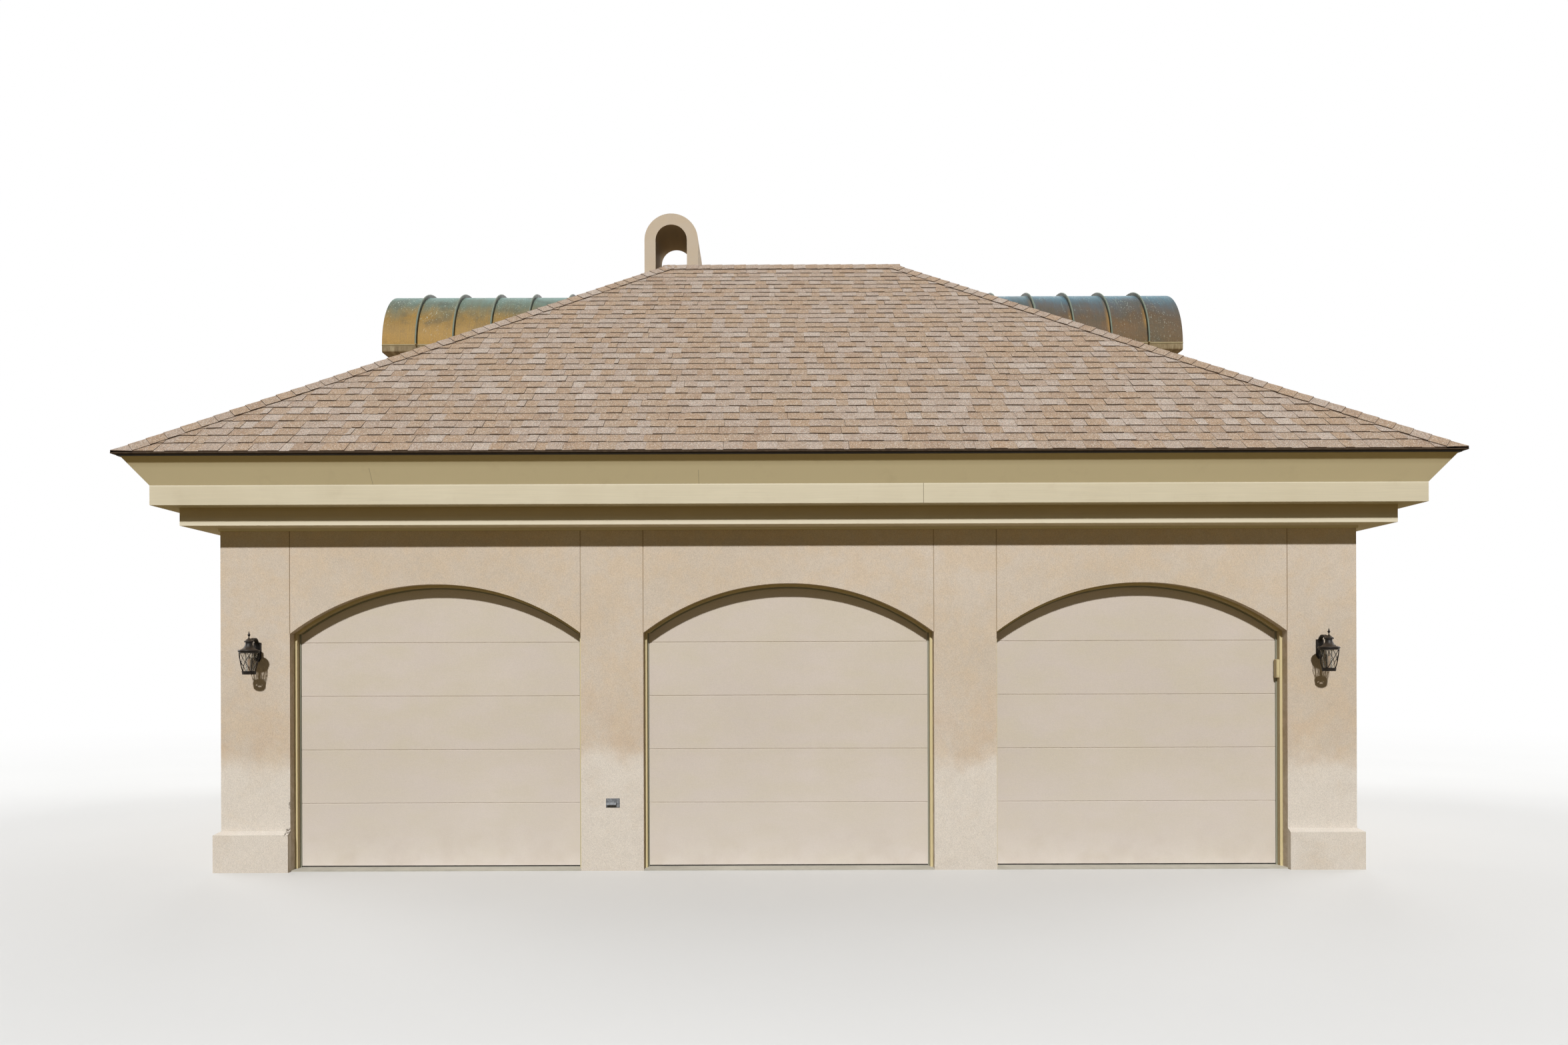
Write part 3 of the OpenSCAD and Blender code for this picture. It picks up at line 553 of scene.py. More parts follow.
def door_paint():
    """Factory-painted steel with a fine stippled emboss, painted bounce light towards the bottom,
    and a little dirt near the ground.
    """
    s = Surface("door_steel_paint", roughness=0.55, specular=0.4)
    cloud = s.noise(0.9, detail=4)
    colour = s.ramp(cloud, (0.3, srgb(202, 191, 180)), (0.7, srgb(210, 199, 188)))
    tint = s.noise(2.2, detail=4, roughness=0.6, place=s.stretched((1.0, 1.0, 2.2)))
    colour = s.tint(colour, (203, 193, 172), s.fit(tint, 0.36, 0.64, 0.0, 0.55))
    grain = s.noise(1.0, detail=5, roughness=0.65, place=s.stretched((16.0, 16.0, 190.0)))
    stipple = s.noise(170.0, detail=2, roughness=0.7)
    colour = s.shade(colour, grain, 0.955, 1.045)
    colour = s.shade(colour, s.fit(stipple, 0.35, 0.65), 0.955, 1.045)
    # Painted bounce light: paler towards the bottom of the door.
    colour = s.tint(colour, (224, 216, 208), s.fit(s.z, 1.0, 0.15, 0.0, 0.45))
    dust = s.times(s.fit(s.z, 0.45, 0.02), s.fit(s.noise(5.0, detail=5), 0.42, 0.72))
    colour = s.tint(colour, (168, 148, 122), dust, 0.20)
    normal = s.bump(s.noise(1.1, detail=1), 0.02, 0.12, s.bump(grain, 0.0009, 0.6))
    return s.done(colour, normal, s.fit(cloud, 0.3, 0.7, 0.5, 0.62))


def concrete():
    """Broom-finished slab."""
    s = Surface("broom_finished_concrete", roughness=0.9, specular=0.3)
    cloud = s.noise(2.5, detail=6, roughness=0.65)
    colour = s.ramp(cloud, (0.3, srgb(176, 172, 160)), (0.7, srgb(202, 198, 186)))
    broom = s.noise(1.0, detail=3, place=s.stretched((12.0, 260.0, 12.0)))
    colour = s.shade(colour, broom, 0.93, 1.07)
    colour = s.shade(colour, s.noise(300.0), 0.88, 1.12)
    return s.done(colour, s.bump(broom, 0.002, 0.5))


def rubber():
    """Dusty black rubber of the seals under the doors."""
    s = Surface("seal_rubber", roughness=0.7, specular=0.4)
    colour = s.ramp(s.noise(14.0, detail=4), (0.3, srgb(44, 42, 40)), (0.7, srgb(66, 62, 57)))
    return s.done(colour, s.bump(s.noise(120.0), 0.0006, 0.5))


def lantern_metal():
    """Cast aluminium with a dark bronze powder coat, paler on what faces up: dust, and painted
    light from above.
    """
    s = Surface("lantern_cast_metal", roughness=0.5, specular=0.3)
    hammer = s.noise(90.0, detail=3)
    colour = s.ramp(s.noise(22.0, detail=4), (0.3, srgb(22, 19, 17)), (0.7, srgb(40, 34, 29)))
    facing = s.add("ShaderNodeSeparateXYZ")
    s.put(s.add("ShaderNodeNewGeometry").outputs["Normal"], facing.inputs[0])
    # Dust and painted light from above, on what faces up.
    dust = s.times(s.fit(facing.outputs[2], 0.3, 1.0, 0.0, 0.35), s.fit(hammer, 0.3, 0.7, 0.4, 1.0))
    colour = s.tint(colour, (118, 100, 82), dust)
    return s.done(colour, s.bump(hammer, 0.0012, 0.6), s.fit(hammer, 0.3, 0.7, 0.38, 0.56))


def window_glass():
    """Clear glass with a faint ripple."""
    s = Surface("window_glass", roughness=0.02)
    s.shader.inputs["Transmission Weight"].default_value = 1.0
    s.shader.inputs["IOR"].default_value = 1.45
    film = s.noise(3.0, detail=3)
    colour = s.ramp(film, (0.3, srgb(226, 236, 234)), (0.8, srgb(250, 250, 248)))
    return s.done(colour, s.bump(film, 0.004, 0.5))


def lantern_glass():
    """Thin seeded glass: mostly clear, with small bubbles and a little dust."""
    s = Surface("lantern_seeded_glass", roughness=0.06)
    film = s.noise(26.0, detail=4)
    seeds = s.cells(130.0)
    colour = s.ramp(film, (0.3, srgb(176, 172, 160)), (0.8, srgb(206, 203, 192)))
    alpha = s.plus(s.fit(film, 0.3, 0.7, 0.06, 0.16), s.fit(seeds, 0.22, 0.10, 0.0, 0.25))
    s.put(alpha, s.shader.inputs["Alpha"])
    return s.done(colour, s.bump(film, 0.002, 0.4))


def chimney_glass():
    """Clear tube round the candle, which shows most at its edges."""
    s = Surface("lantern_chimney_glass", roughness=0.08)
    film = s.noise(34.0, detail=3)
    colour = s.ramp(film, (0.3, srgb(150, 148, 138)), (0.8, srgb(182, 180, 170)))
    edge = s.add("ShaderNodeLayerWeight")
    edge.inputs["Blend"].default_value = 0.35
    rim = s.fit(edge.outputs["Facing"], 0.35, 0.95, 0.0, 0.75)
    s.put(s.plus(rim, s.fit(film, 0.3, 0.7, 0.04, 0.12)), s.shader.inputs["Alpha"])
    return s.done(colour, s.bump(film, 0.001, 0.3))


def candle():
    """Wax-coloured sleeve of an electric candle."""
    s = Surface("candle_sleeve", roughness=0.4)
    s.shader.inputs["Subsurface Weight"].default_value = 0.2
    s.shader.inputs["Subsurface Radius"].default_value = (0.01, 0.006, 0.003)
    colour = s.ramp(s.noise(30.0), (0.3, srgb(176, 140, 108)), (0.7, srgb(200, 164, 128)))
    return s.done(colour, s.bump(s.noise(60.0), 0.0006, 0.4))


def vent_metal():
    """Galvanised sheet with a spangle."""
    s = Surface("galvanised_sheet", roughness=0.6, metallic=0.2, specular=0.3)
    grey = s.add("ShaderNodeRGBToBW")
    s.put(s.cells(70.0, output="Color"), grey.inputs[0])
    colour = s.ramp(grey.outputs[0], (0.2, srgb(104, 107, 110)), (0.8, srgb(136, 139, 142)))
    colour = s.shade(colour, s.noise(25.0, detail=5), 0.82, 1.12)
    return s.done(colour, s.bump(s.noise(120.0), 0.0004, 0.4))


def flashing_metal():
    """Weathered lead."""
    s = Surface("lead_flashing", roughness=0.55, metallic=0.3)
    colour = s.ramp(s.noise(5.0, detail=5), (0.3, srgb(104, 96, 82)), (0.7, srgb(138, 130, 112)))
    return s.done(colour, s.bump(s.noise(16.0), 0.003, 0.5))


TRIM = painted_trim()
SHINGLE = shingle()
VENT = vent_metal()
LANTERN = lantern_metal()

FINISHES = {
    "stucco": stucco(),
    "painted_trim": TRIM,
    "shingles": underlay(),
    "drip_metal": drip_metal(),
    "door_paint": door_paint(),
    "concrete": concrete(),
    "seal_rubber": rubber(),
    "lantern_metal": LANTERN,
    "lantern_glass": lantern_glass(),
    "window_glass": window_glass(),
    "candle": candle(),
    "vent_metal": VENT,
}

# The left barrel has weathered greener and the right one bluer
BARRELS = {
    "dormer_barrel_left": copper(
        "copper_left",
        skirt=srgb(162, 130, 70), flank=srgb(144, 116, 62), shoulder=srgb(104, 113, 97),
        crown=srgb(111, 138, 131), top=srgb(122, 130, 114), glow=srgb(168, 132, 64)
    ),
    "dormer_barrel_right": copper(
        "copper_right",
        skirt=srgb(104, 86, 60), flank=srgb(92, 79, 63), shoulder=srgb(84, 91, 94),
        crown=srgb(80, 115, 128), top=srgb(105, 112, 106), glow=srgb(112, 84, 50)
    ),
}


def dress():
    """Gives each CAD node the material of its slot, and each barrel its own copper."""
    for row in frame["record"]["subparts"]:
        mesh = NODES[row["node"]].data
        mesh.materials.clear()
        mesh.materials.append(BARRELS.get(row["node"]) or FINISHES[row["material_slot"]])


# Sizes of single tabs, caps and flashings
EAVE_GAP = 0.001
BURY_MARGIN = 0.01
LEAST_AREA = 2e-5
SUNK = 0.001
HEAD_LAP = 0.005
THICK_W, THICK_BUTT, THICK_HEAD = (0.11, 0.19), 0.0086, 0.0024
THIN_W, THIN_BUTT, THIN_HEAD = (0.08, 0.16), 0.0051, 0.0012
BUTT_SPREAD = (-0.0009, 0.0010)
BUTT_STEPS = 3
SLANT = 0.0022
RAGGED = 0.0008
LEAST_END_W = 0.03
LEAST_TAB_W = 0.04
SLIT_W = 0.003
CAP_LAP = 0.004
CAP_BUTT = 0.0135
CAP_TAPER = 0.0045
HIP_CURL = (-0.0005, 0.0015)
RIDGE_LIFT = 0.001
RIDGE_OVERHANG = 0.06
FLASHING_RISE = 0.11
FLASHING_T = 0.003


# Meshes

def placed(name, data):
    """A new object of the scene."""
    thing = bpy.data.objects.new(name, data)
    bpy.context.scene.collection.objects.link(thing)
    return thing


class Shell:
    """Gathers closed solids into one mesh, with a tone and an edge value for each face."""

    def __init__(self):
        self.points = []
        self.faces = []
        self.tones = []
        self.edges = []

    def face(self, corners, tone, edge):
        """One face, by the numbers of its corners."""
        self.faces.append(corners)
        self.tones.append(tone)
        self.edges.append(edge)

    def prism(self, low, high, tone=0.5, edge=0.0):
        """Closed solid between two rings, seen anticlockwise from the high one."""
        count = len(low)
        start = len(self.points)
        self.points += list(low) + list(high)
        self.face([start + i for i in reversed(range(count))], tone, edge)
        self.face([start + count + i for i in range(count)], tone, 0.0)
        for i in range(count):
            j = (i + 1) % count
            self.face([start + i, start + j, start + count + j, start + count + i], tone, edge)

    def made(self, name, material):
        """The mesh as an object of the scene."""
        mesh = bpy.data.meshes.new(name)
        mesh.from_pydata([tuple(p) for p in self.points], [], self.faces)
        for label, values in (("tone", self.tones), ("edge", self.edges)):
            layer = mesh.attributes.new(label, "FLOAT", "FACE")
            layer.data.foreach_set("value", values)
        mesh.materials.append(material)
        mesh.update()
        piece = placed(name, mesh)
        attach(piece, "root")
        return piece


def clipped(outline, keep):
    """A convex plan outline cut to where keep(point), a linear function, is positive."""
    result = []
    for i, here in enumerate(outline):
        after = outline[(i + 1) % len(outline)]
        a, b = keep(here), keep(after)
        if a >= 0:
            result.append(here)
        if (a >= 0) != (b >= 0):
            t = a / (a - b)
            result.append((here[0] + t * (after[0] - here[0]), here[1] + t * (after[1] - here[1])))
    return result


def area(outline):
    """Area of a plan outline, positive where it runs anticlockwise."""
    return 0.5 * sum(p[0] * q[1] - q[0] * p[1] for p, q in zip(outline, outline[1:] + outline[:1]))


def anticlockwise(outline):
    """The outline, turned round where it runs clockwise."""
    return outline if area(outline) >= 0 else outline[::-1]


class Slope:
    """One roof slope, in plan coordinates: a along its eave and b inward from it."""

    def __init__(self, side):
        self.side = side
        self.half = EAVE_X if side in ("front", "rear") else EAVE_Y
        self.depth = EAVE_Y if side in ("front", "rear") else EAVE_X - RIDGE_HALF

    def plan(self, a, b):
        """The place (x, y) of a point (a, b)."""
        if self.side == "front":
            return (a, -EAVE_Y + b)
        if self.side == "rear":
            return (-a, EAVE_Y - b)
        if self.side == "right":
            return (EAVE_X - b, a)
        return (-EAVE_X + b, -a)

    def point(self, a, b, lift):
        """A point in space, lifted off the slope and square to it."""
        x, y = self.plan(a, b)
        return Vector((x, y, EAVE_Z + PITCH * b + lift * SLOPE))

    def trimmed(self, outline):
        """An (a, b) outline cut to the hips, the eave and the ridge."""
        for keep in (
            lambda p: self.half - p[1] - p[0],
            lambda p: self.half - p[1] + p[0],
            lambda p: p[1] - EAVE_GAP,
            lambda p: self.depth - p[1],
        ):
            outline = clipped(outline, keep)
            if len(outline) < 3:
                return []
        return outline

    def slab(self, shell, outline, lift, tone):
        """A piece on the slope, with its top at lift(a, b) square to it."""
        if area(outline) < LEAST_AREA:
            return
        low = [self.point(a, b, -SUNK) for a, b in outline]
        high = [self.point(a, b, lift(a, b)) for a, b in outline]
        shell.prism(low, high, tone, edge=1.0)


def buried(slope, outline):
    """True where a piece of roofing lies wholly inside a dormer or the cupola."""
    if slope.side == "front":
        return False
    corners = [slope.plan(a, b) for a, b in outline]
    if slope.side == "rear":
        return all(in_curb(x, y) for x, y in corners)
    return all(in_dormer(x, y, b) for (x, y), (a, b) in zip(corners, outline))


def in_curb(x, y):
    """True inside the cupola's curb."""
    return (
        CURB_LOW.x + BURY_MARGIN < x < CURB_HIGH.x - BURY_MARGIN
        and CURB_LOW.y + BURY_MARGIN < y < CURB_HIGH.y - BURY_MARGIN
    )


def in_dormer(x, y, b):
    """True between a dormer's cheeks, or inside its barrel above the springing."""
    above = EAVE_Z + PITCH * b - SPRING_Z
    if above < 0:
        return abs(y) < CHEEK_HIGH.y - BURY_MARGIN and abs(x) < END_HIGH.x - BURY_MARGIN
    return y * y + above * above < (BARREL_INNER_R - BURY_MARGIN) ** 2


def shingle_tone(rng):
    """Most shingles are near the middle tone, and a few are much lighter or darker."""
    kind = rng.random()
    if kind < 0.15:
        return rng.uniform(0.84, 1.0)
    if kind < 0.27:
        return rng.uniform(0.0, 0.16)
    if kind < 0.62:
        return rng.uniform(0.16, 0.44)
    return rng.uniform(0.52, 0.80)


def shingle_field(side, seed):
    """Laminated shingles in courses: thick tabs with thinner places between them."""
    rng = random.Random(seed)
    slope = Slope(side)
    shell = Shell()
    feet = [0.0]
    while feet[-1] < slope.depth:
        feet.append(FIRST_COURSE_EXTRA + COURSE * len(feet))
    for foot, head in zip(feet, feet[1:]):
        lay_course(shell, slope, rng, foot, head)
    return shell.made(f"shingles_{side}", SHINGLE)


def lay_course(shell, slope, rng, foot, head):
    """One course of tabs, with a slit at the end of each strip."""
    reach = slope.half - foot
    a = -reach - rng.uniform(0.0, STRIP_W)
    strip_end = a + STRIP_W
    thick = rng.random() < 0.5
    while a < reach:
        width = rng.uniform(*(THICK_W if thick else THIN_W))
        slit = 0.0
        if a + width > strip_end - LEAST_END_W:
            width = max(strip_end - a, LEAST_TAB_W)
            strip_end += STRIP_W
            slit = SLIT_W
        if a + width > -reach:
            lay_tab(shell, slope, rng, (a, a + width - slit), (foot, head + HEAD_LAP), thick)
        a += width
        thick = not thick


def lay_tab(shell, slope, rng, sides, ends, thick):
    """One tab, thickest at its slightly ragged butt, with its head under the next course."""
    left, right = sides
    foot, head = ends
    butt_lift = (THICK_BUTT if thick else THIN_BUTT) + rng.uniform(*BUTT_SPREAD)
    head_lift = THICK_HEAD if thick else THIN_HEAD
    slant = rng.uniform(-SLANT, SLANT)
    butt = [
        (
            left + (right - left) * i / BUTT_STEPS,
            foot + slant * (2 * i / BUTT_STEPS - 1) + rng.uniform(-RAGGED, RAGGED)
        )
        for i in range(BUTT_STEPS + 1)
    ]
    outline = slope.trimmed(butt + [(right, head), (left, head)])
    if not outline or buried(slope, outline):
        return

    def lift(a, b):
        t = min(max((b - foot) / (head - foot), 0.0), 1.0)
        return butt_lift + (head_lift - butt_lift) * t

    slope.slab(shell, outline, lift, shingle_tone(rng))


def cap_lift(t, extra):
    """Height of a cap shingle above the slope, from its butt at t = 0 to its head at t = 1."""
    return CAP_BUTT + extra - CAP_TAPER * t


def hip_cap_row():
    """Folded cap shingles up the four hips, each made of a half on both slopes."""
    shell = Shell()
    rng = random.Random(31)
    plan_length = EAVE_Y * math.sqrt(2)
    step = EXPOSURE * plan_length / math.hypot(plan_length, RIDGE_Z - EAVE_Z)
    count = int(plan_length / step) + 1
    for front in ("front", "rear"):
        for end in ("left", "right"):
            for index in range(count):
                tone = shingle_tone(rng)
                curl = rng.uniform(*HIP_CURL)
                for side in (front, end):
                    edge = hip_edge(side, front, end)
                    lay_hip_half(shell, Slope(side), edge, index, step, tone, curl)
    return shell.made("hip_cap_shingles", SHINGLE)


def hip_edge(side, front, end):
    """Which end of a slope's eave, +1 or -1 along a, a hip starts from."""
    if side in ("front", "rear"):
        return 1 if (side == "front") == (end == "right") else -1
    return 1 if (side == "left") == (front == "front") else -1


def lay_hip_half(shell, slope, edge, index, step, tone, curl):
    """Half of a hip cap, on one of the two slopes that meet there."""
    near = index * step / math.sqrt(2)
    far = (index + 1) * step / math.sqrt(2) + CAP_LAP
    across = CAP_HALF_W / math.sqrt(2)

    def hip(b, inward):
        """A point b up the hip, moved across by inward along the cap."""
        return (edge * (slope.half - b) - edge * inward, b - inward)

    outline = anticlockwise([hip(near, 0.0), hip(far, 0.0), hip(far, across), hip(near, across)])
    outline = slope.trimmed(outline)
    if not outline or buried(slope, outline):
        return

    def lift(a, b):
        along = (b + (slope.half - edge * a)) / 2
        t = min(max((along - near) / (far - near), 0.0), 1.0)
        return cap_lift(t, curl * (1 - t))

    slope.slab(shell, outline, lift, tone)


def ridge_cap_row():
    """Folded cap shingles along the ridge."""
    shell = Shell()
    rng = random.Random(57)
    start = -RIDGE_HALF - RIDGE_OVERHANG
    length = 2 * RIDGE_HALF + 2 * RIDGE_OVERHANG
    count = math.ceil(length / EXPOSURE)
    step = length / count
    for index in range(count):
        tone = shingle_tone(rng)
        head = start + index * step
        for side, sign in (("front", 1), ("rear", -1)):
            lay_ridge_half(shell, Slope(side), sign, head, head + step + CAP_LAP, tone)
    return shell.made("ridge_cap_shingles", SHINGLE)


def lay_ridge_half(shell, slope, sign, head, butt, tone):
    """Half of a ridge cap, on one of the two long slopes."""
    foot, top = slope.depth - CAP_HALF_W, slope.depth
    outline = [(sign * head, foot), (sign * butt, foot), (sign * butt, top), (sign * head, top)]

    def lift(a, b):
        t = (butt - sign * a) / (butt - head)
        return cap_lift(t, RIDGE_LIFT)

    slope.slab(shell, anticlockwise(outline), lift, tone)


def box_solid(shell, low, high):
    """Upright box between two corners."""
    ring = [(low[0], low[1]), (high[0], low[1]), (high[0], high[1]), (low[0], high[1])]
    bottom, top = ([Vector((x, y, z)) for x, y in ring] for z in (low[2], high[2]))
    shell.prism(bottom, top)


def window_bars():
    """Muntins of the two dormer windows: one upright, three level and three fanned bars."""
    frame_low, frame_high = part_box("dormer_window_frames")
    frame_w = 0.05
    head_drop = 0.070
    bar_w, bar_d = 0.022, 0.032
    half_glass = 0.003
    overlap = 0.001
    half_open = frame_high.y - frame_w
    sill_z = frame_low.z + frame_w
    spring_z = SPRING_Z - head_drop
    middle_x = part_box("dormer_window_glass")[1].x - half_glass
    shell = Shell()
    for side in (-1, 1):
        near, far = sorted((side * (middle_x - bar_d / 2), side * (middle_x + bar_d / 2)))
        box_solid(shell, (near, -bar_w / 2, sill_z), (far, bar_w / 2, spring_z + overlap))
        for level in (1, 2, 3):
            z = sill_z + (spring_z - sill_z) * level / 3
            box_solid(shell, (near, -half_open, z - bar_w / 2), (far, half_open, z + bar_w / 2))
        for turn in (45, 90, 135):
            lay_spoke(shell, near, far, spring_z, half_open, bar_w, math.radians(turn))
    return shell.made("dormer_window_bars", TRIM)


def lay_spoke(shell, near, far, centre_z, reach, width, turn):
    """A fanned bar in the round head of a window."""
    along = Vector((0, math.cos(turn), math.sin(turn)))
    across = Vector((0, -math.sin(turn), math.cos(turn))) * (width / 2)
    foot = Vector((0, 0, centre_z))
    tip = foot + along * reach
    ring = [foot - across, foot + across, tip + across, tip - across]
    low = [Vector((near, p.y, p.z)) for p in ring]
    high = [Vector((far, p.y, p.z)) for p in ring]
    shell.prism(high, low)


def roof_z(x, y):
    """Height of the roof planes over a point in plan."""
    return EAVE_Z + PITCH * min(EAVE_X - abs(x), EAVE_Y - abs(y))


def upright_sheet(shell, start, end, outward):
    """A thin sheet on the roof planes between two points in plan, against a wall behind it."""
    sunk = 0.002
    push = Vector((outward[0] * FLASHING_T, outward[1] * FLASHING_T, 0))
    rise = Vector((0, 0, FLASHING_RISE))
    feet = [Vector((p[0], p[1], roof_z(*p) - sunk)) for p in (start, end)]
    back = [feet[0], feet[1], feet[1] + rise, feet[0] + rise]
    shell.prism([p + push for p in back], back)


def flashings():
    """Lead sheets turned up where the cupola and the dormers stand on the roof."""
    shell = Shell()
    x0, y0, x1, y1 = CURB_LOW.x, CURB_LOW.y, CURB_HIGH.x, CURB_HIGH.y
    upright_sheet(shell, (x1, y0), (x0, y0), (0, -1))
    upright_sheet(shell, (x0, y1), (x1, y1), (0, 1))
    upright_sheet(shell, (x1, y1), (x1, y0), (1, 0))
    for start, end in hip_split((x0, y0), (x0, y1)):
        upright_sheet(shell, start, end, (-1, 0))
    for side in (-1, 1):
        wall_x = side * END_HIGH.x
        head_x = side * (EAVE_X - (SPRING_Z - EAVE_Z) / PITCH)
        cheek_y = CHEEK_HIGH.y
        upright_sheet(shell, (wall_x, -cheek_y * side), (wall_x, cheek_y * side), (side, 0))
        for edge in (-1, 1):
            ends = [(wall_x, edge * cheek_y), (head_x, edge * cheek_y)]
            if side * edge < 0:
                ends.reverse()
            upright_sheet(shell, ends[0], ends[1], (0, edge))
    return shell.made("roof_flashings", flashing_metal())


def hip_split(start, end):
    """Cuts a line in plan, which runs along Y, where it crosses a hip."""
    hip_y = EAVE_Y - (EAVE_X - abs(start[0]))
    if not min(start[1], end[1]) < hip_y < max(start[1], end[1]):
        return [(start, end)]
    middle = (start[0], hip_y)
    return [(start, middle), (middle, end)]


def screw_head(shell, centre, radius, depth):
    """Low domed screw head that points to the front."""
    sides = 10
    neck, crown = 0.4, 0.62
    spin = Vector((0, 0, 1)).rotation_difference(Vector((0, -1, 0))).to_matrix()
    rings = []
    for r, z in ((radius, 0.0), (radius, depth * neck), (radius * crown, depth)):
        rings.append([
            Vector(centre) + spin @ Vector((r * math.cos(t), r * math.sin(t), z))
            for t in (2 * math.pi * i / sides for i in range(sides))
        ])
    shell.prism(rings[0], rings[1])
    shell.prism(rings[1], rings[2])


def small_screws():
    """Screws of the vent plate, the lantern plates and the switch box."""
    vent_plate_t, lantern_plate_t = 0.006, 0.014
    vent_low, vent_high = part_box("vent_hood")
    middle_z = (vent_low.z + vent_high.z) / 2
    vent = Shell()
    for x in (vent_low.x + 0.006, vent_high.x - 0.008):
        screw_head(vent, (x, FRONT_Y - vent_plate_t, middle_z), radius=0.004, depth=0.003)
    vent.made("vent_screws", VENT)
    plates = Shell()
    for name in ("lantern_left", "lantern_right"):
        low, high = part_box(name)
        place = ((low.x + high.x) / 2, FRONT_Y - lantern_plate_t)
        for z in (high.z - 0.110, high.z - 0.240):
            screw_head(plates, (*place, z), radius=0.006, depth=0.005)
    plates.made("lantern_screws", LANTERN)
    cover = Shell()
    low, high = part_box("switch_box")
    for x in (low.x + 0.008, high.x - 0.008):
        screw_head(cover, (x, low.y, low.z + 0.014), radius=0.0028, depth=0.002)
    cover.made("switch_box_screws", VENT)


def chimneys():
    """Open glass tubes round the candles, which stand on the lanterns' crossed bars."""
    low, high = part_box("lantern_candles")
    middle_y = (low.y + high.y) / 2
    middle_x = high.x - (high.y - low.y) / 2
    radii = (0.0215, 0.0195)
    clear, tube_top = 0.0005, 0.112
    heights = (low.z + clear, low.z + tube_top)
    shell = Shell()
    for side in (-1, 1):
        tube(shell, (side * middle_x, middle_y), radii, heights)
    return shell.made("lantern_chimneys", chimney_glass())


def tube(shell, centre, radii, heights):
    """Upright open tube with a wall between two radii."""
    sides = 28
    start = len(shell.points)
    for radius in radii:
        for z in heights:
            for i in range(sides):
                turn = 2 * math.pi * i / sides
                x, y = centre[0] + radius * math.cos(turn), centre[1] + radius * math.sin(turn)
                shell.points.append(Vector((x, y, z)))
    outer_low, outer_high, inner_low, inner_high = (start + sides * k for k in range(4))
    rings = [outer_low, outer_high, inner_high, inner_low]
    for i in range(sides):
        j = (i + 1) % sides
        for first, second in zip(rings, rings[1:] + rings[:1]):
            shell.face([first + i, first + j, second + j, second + i], 0.5, 0.0)


# Stage, light and camera

def stage():
    """Plain pale floor that fades to white far away. Its bounced light is that of a tan drive."""
    reach = 120.0
    fade_from, fade_to = 9.0, 26.0
    bounce = (0.175, 0.128, 0.052, 1.0)
    mesh = bpy.data.meshes.new("floor")
    corners = [(x * reach, y * reach, 0) for x, y in ((-1, -1), (1, -1), (1, 1), (-1, 1))]
    mesh.from_pydata(corners, [], [(0, 1, 2, 3)])
    floor = placed("floor", mesh)
    s = Surface("floor_paper", roughness=0.9, specular=0.1)
    length = s.add("ShaderNodeVectorMath", operation="LENGTH")
    s.put(s.stretched((1.0, 1.0, 0.0)), length.inputs[0])
    far = s.fit(length.outputs["Value"], fade_from, fade_to, smooth=True)
    camera_ray = s.add("ShaderNodeLightPath").outputs["Is Camera Ray"]
    paper = s.ramp(s.noise(0.4), (0.0, srgb(222, 222, 221)), (1.0, srgb(227, 227, 226)))
    s.done(s.blend(camera_ray, bounce, paper))
    glow = s.add("ShaderNodeEmission")
    mixer = s.add("ShaderNodeMixShader")
    s.put(s.times(far, camera_ray), mixer.inputs[0])
    s.put(s.shader.outputs[0], mixer.inputs[1])
    s.put(glow.outputs[0], mixer.inputs[2])
    s.put(mixer.outputs[0], s.tree.nodes["Material Output"].inputs["Surface"])
    mesh.materials.append(s.material)


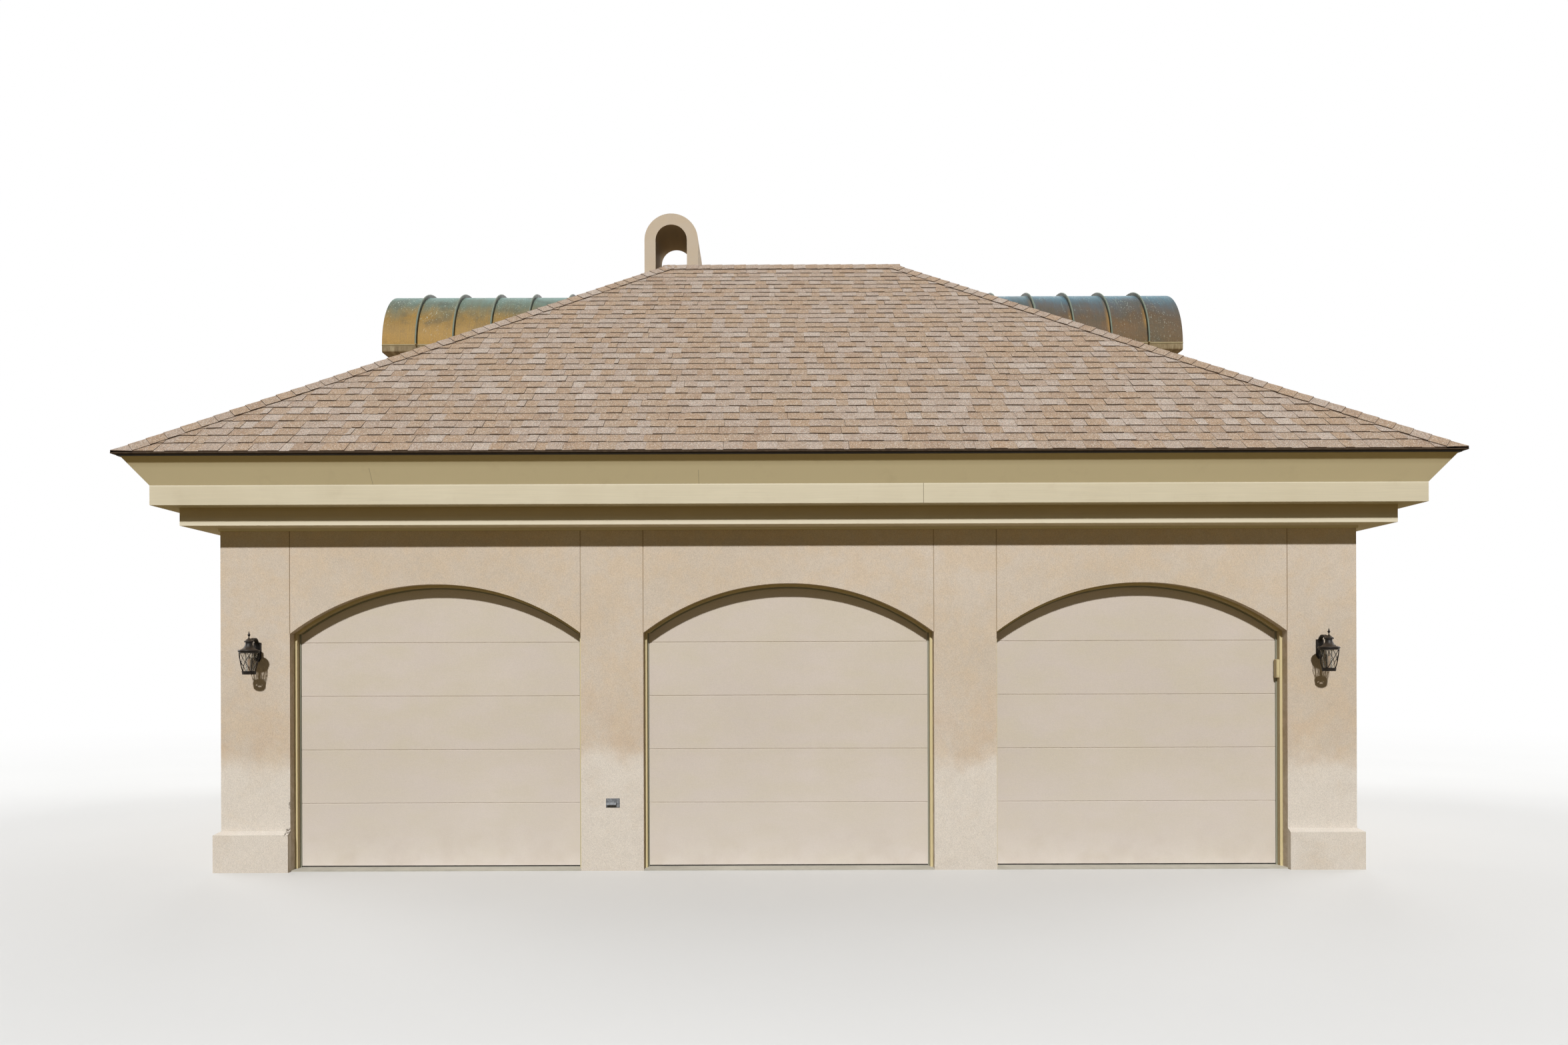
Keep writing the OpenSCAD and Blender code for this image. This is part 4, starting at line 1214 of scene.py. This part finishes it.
def sky(fill):
    """Soft light from all round, which the camera, gloss and glass see as white."""
    world = bpy.data.worlds.new("studio")
    bpy.context.scene.world = world
    world.use_nodes = True
    tree = world.node_tree
    link = tree.links.new
    plain = tree.nodes["Background"]
    white = tree.nodes.new("ShaderNodeBackground")
    for background, strength in ((plain, fill), (white, 1.0)):
        background.inputs["Color"].default_value = (1, 1, 1, 1)
        background.inputs["Strength"].default_value = strength
    path = tree.nodes.new("ShaderNodeLightPath")
    seen = path.outputs["Is Camera Ray"]
    for ray in ("Is Glossy Ray", "Is Transmission Ray"):
        either = tree.nodes.new("ShaderNodeMath")
        either.operation = "MAXIMUM"
        link(seen, either.inputs[0])
        link(path.outputs[ray], either.inputs[1])
        seen = either.outputs[0]
    mixer = tree.nodes.new("ShaderNodeMixShader")
    link(seen, mixer.inputs[0])
    link(plain.outputs[0], mixer.inputs[1])
    link(white.outputs[0], mixer.inputs[2])
    link(mixer.outputs[0], tree.nodes["World Output"].inputs["Surface"])


def sun_lamp(name, strength, elevation, azimuth, spread):
    """Soft lamp far away, at an azimuth measured from straight in front towards the right."""
    light = bpy.data.lights.new(name, "SUN")
    light.energy = strength
    light.angle = math.radians(spread)
    lamp = placed(name, light)
    e, a = math.radians(elevation), math.radians(azimuth)
    towards = Vector((math.sin(a) * math.cos(e), -math.cos(a) * math.cos(e), math.sin(e)))
    lamp.rotation_mode = "QUATERNION"
    lamp.rotation_quaternion = towards.to_track_quat("Z", "Y")


def camera():
    """Level camera at eye height in front of the middle door, shifted up as the photo is."""
    data = bpy.data.cameras.new("camera")
    data.sensor_width = 36.0
    data.lens = 23.88
    data.shift_x = 0.011
    data.shift_y = 0.0918
    data.clip_end = 300.0
    eye = (-0.185, -12.27, 1.726)
    cam = placed("camera", data)
    roll = Matrix.Rotation(math.radians(0.18), 4, "Y")
    level = Matrix.Rotation(math.radians(90), 4, "X")
    cam.matrix_world = Matrix.Translation(eye) @ roll @ level
    bpy.context.scene.camera = cam


camera()
dress()
for seed, side in enumerate(("front", "rear", "left", "right"), 100):
    shingle_field(side, seed)
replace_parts(hip_cap_row(), "hip_caps")
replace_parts(ridge_cap_row(), "ridge_cap")
window_bars()
flashings()
small_screws()
chimneys()
stage()
sky(fill=0.07)
sun_lamp("key", strength=3.12, elevation=35.6, azimuth=-5, spread=2.5)
sun_lamp("side_right", strength=1.7, elevation=22, azimuth=116, spread=45)
sun_lamp("side_left", strength=1.7, elevation=22, azimuth=-116, spread=45)
sun_lamp("rear", strength=1.1, elevation=28, azimuth=175, spread=45)
bpy.context.scene.view_settings.view_transform = "Standard"
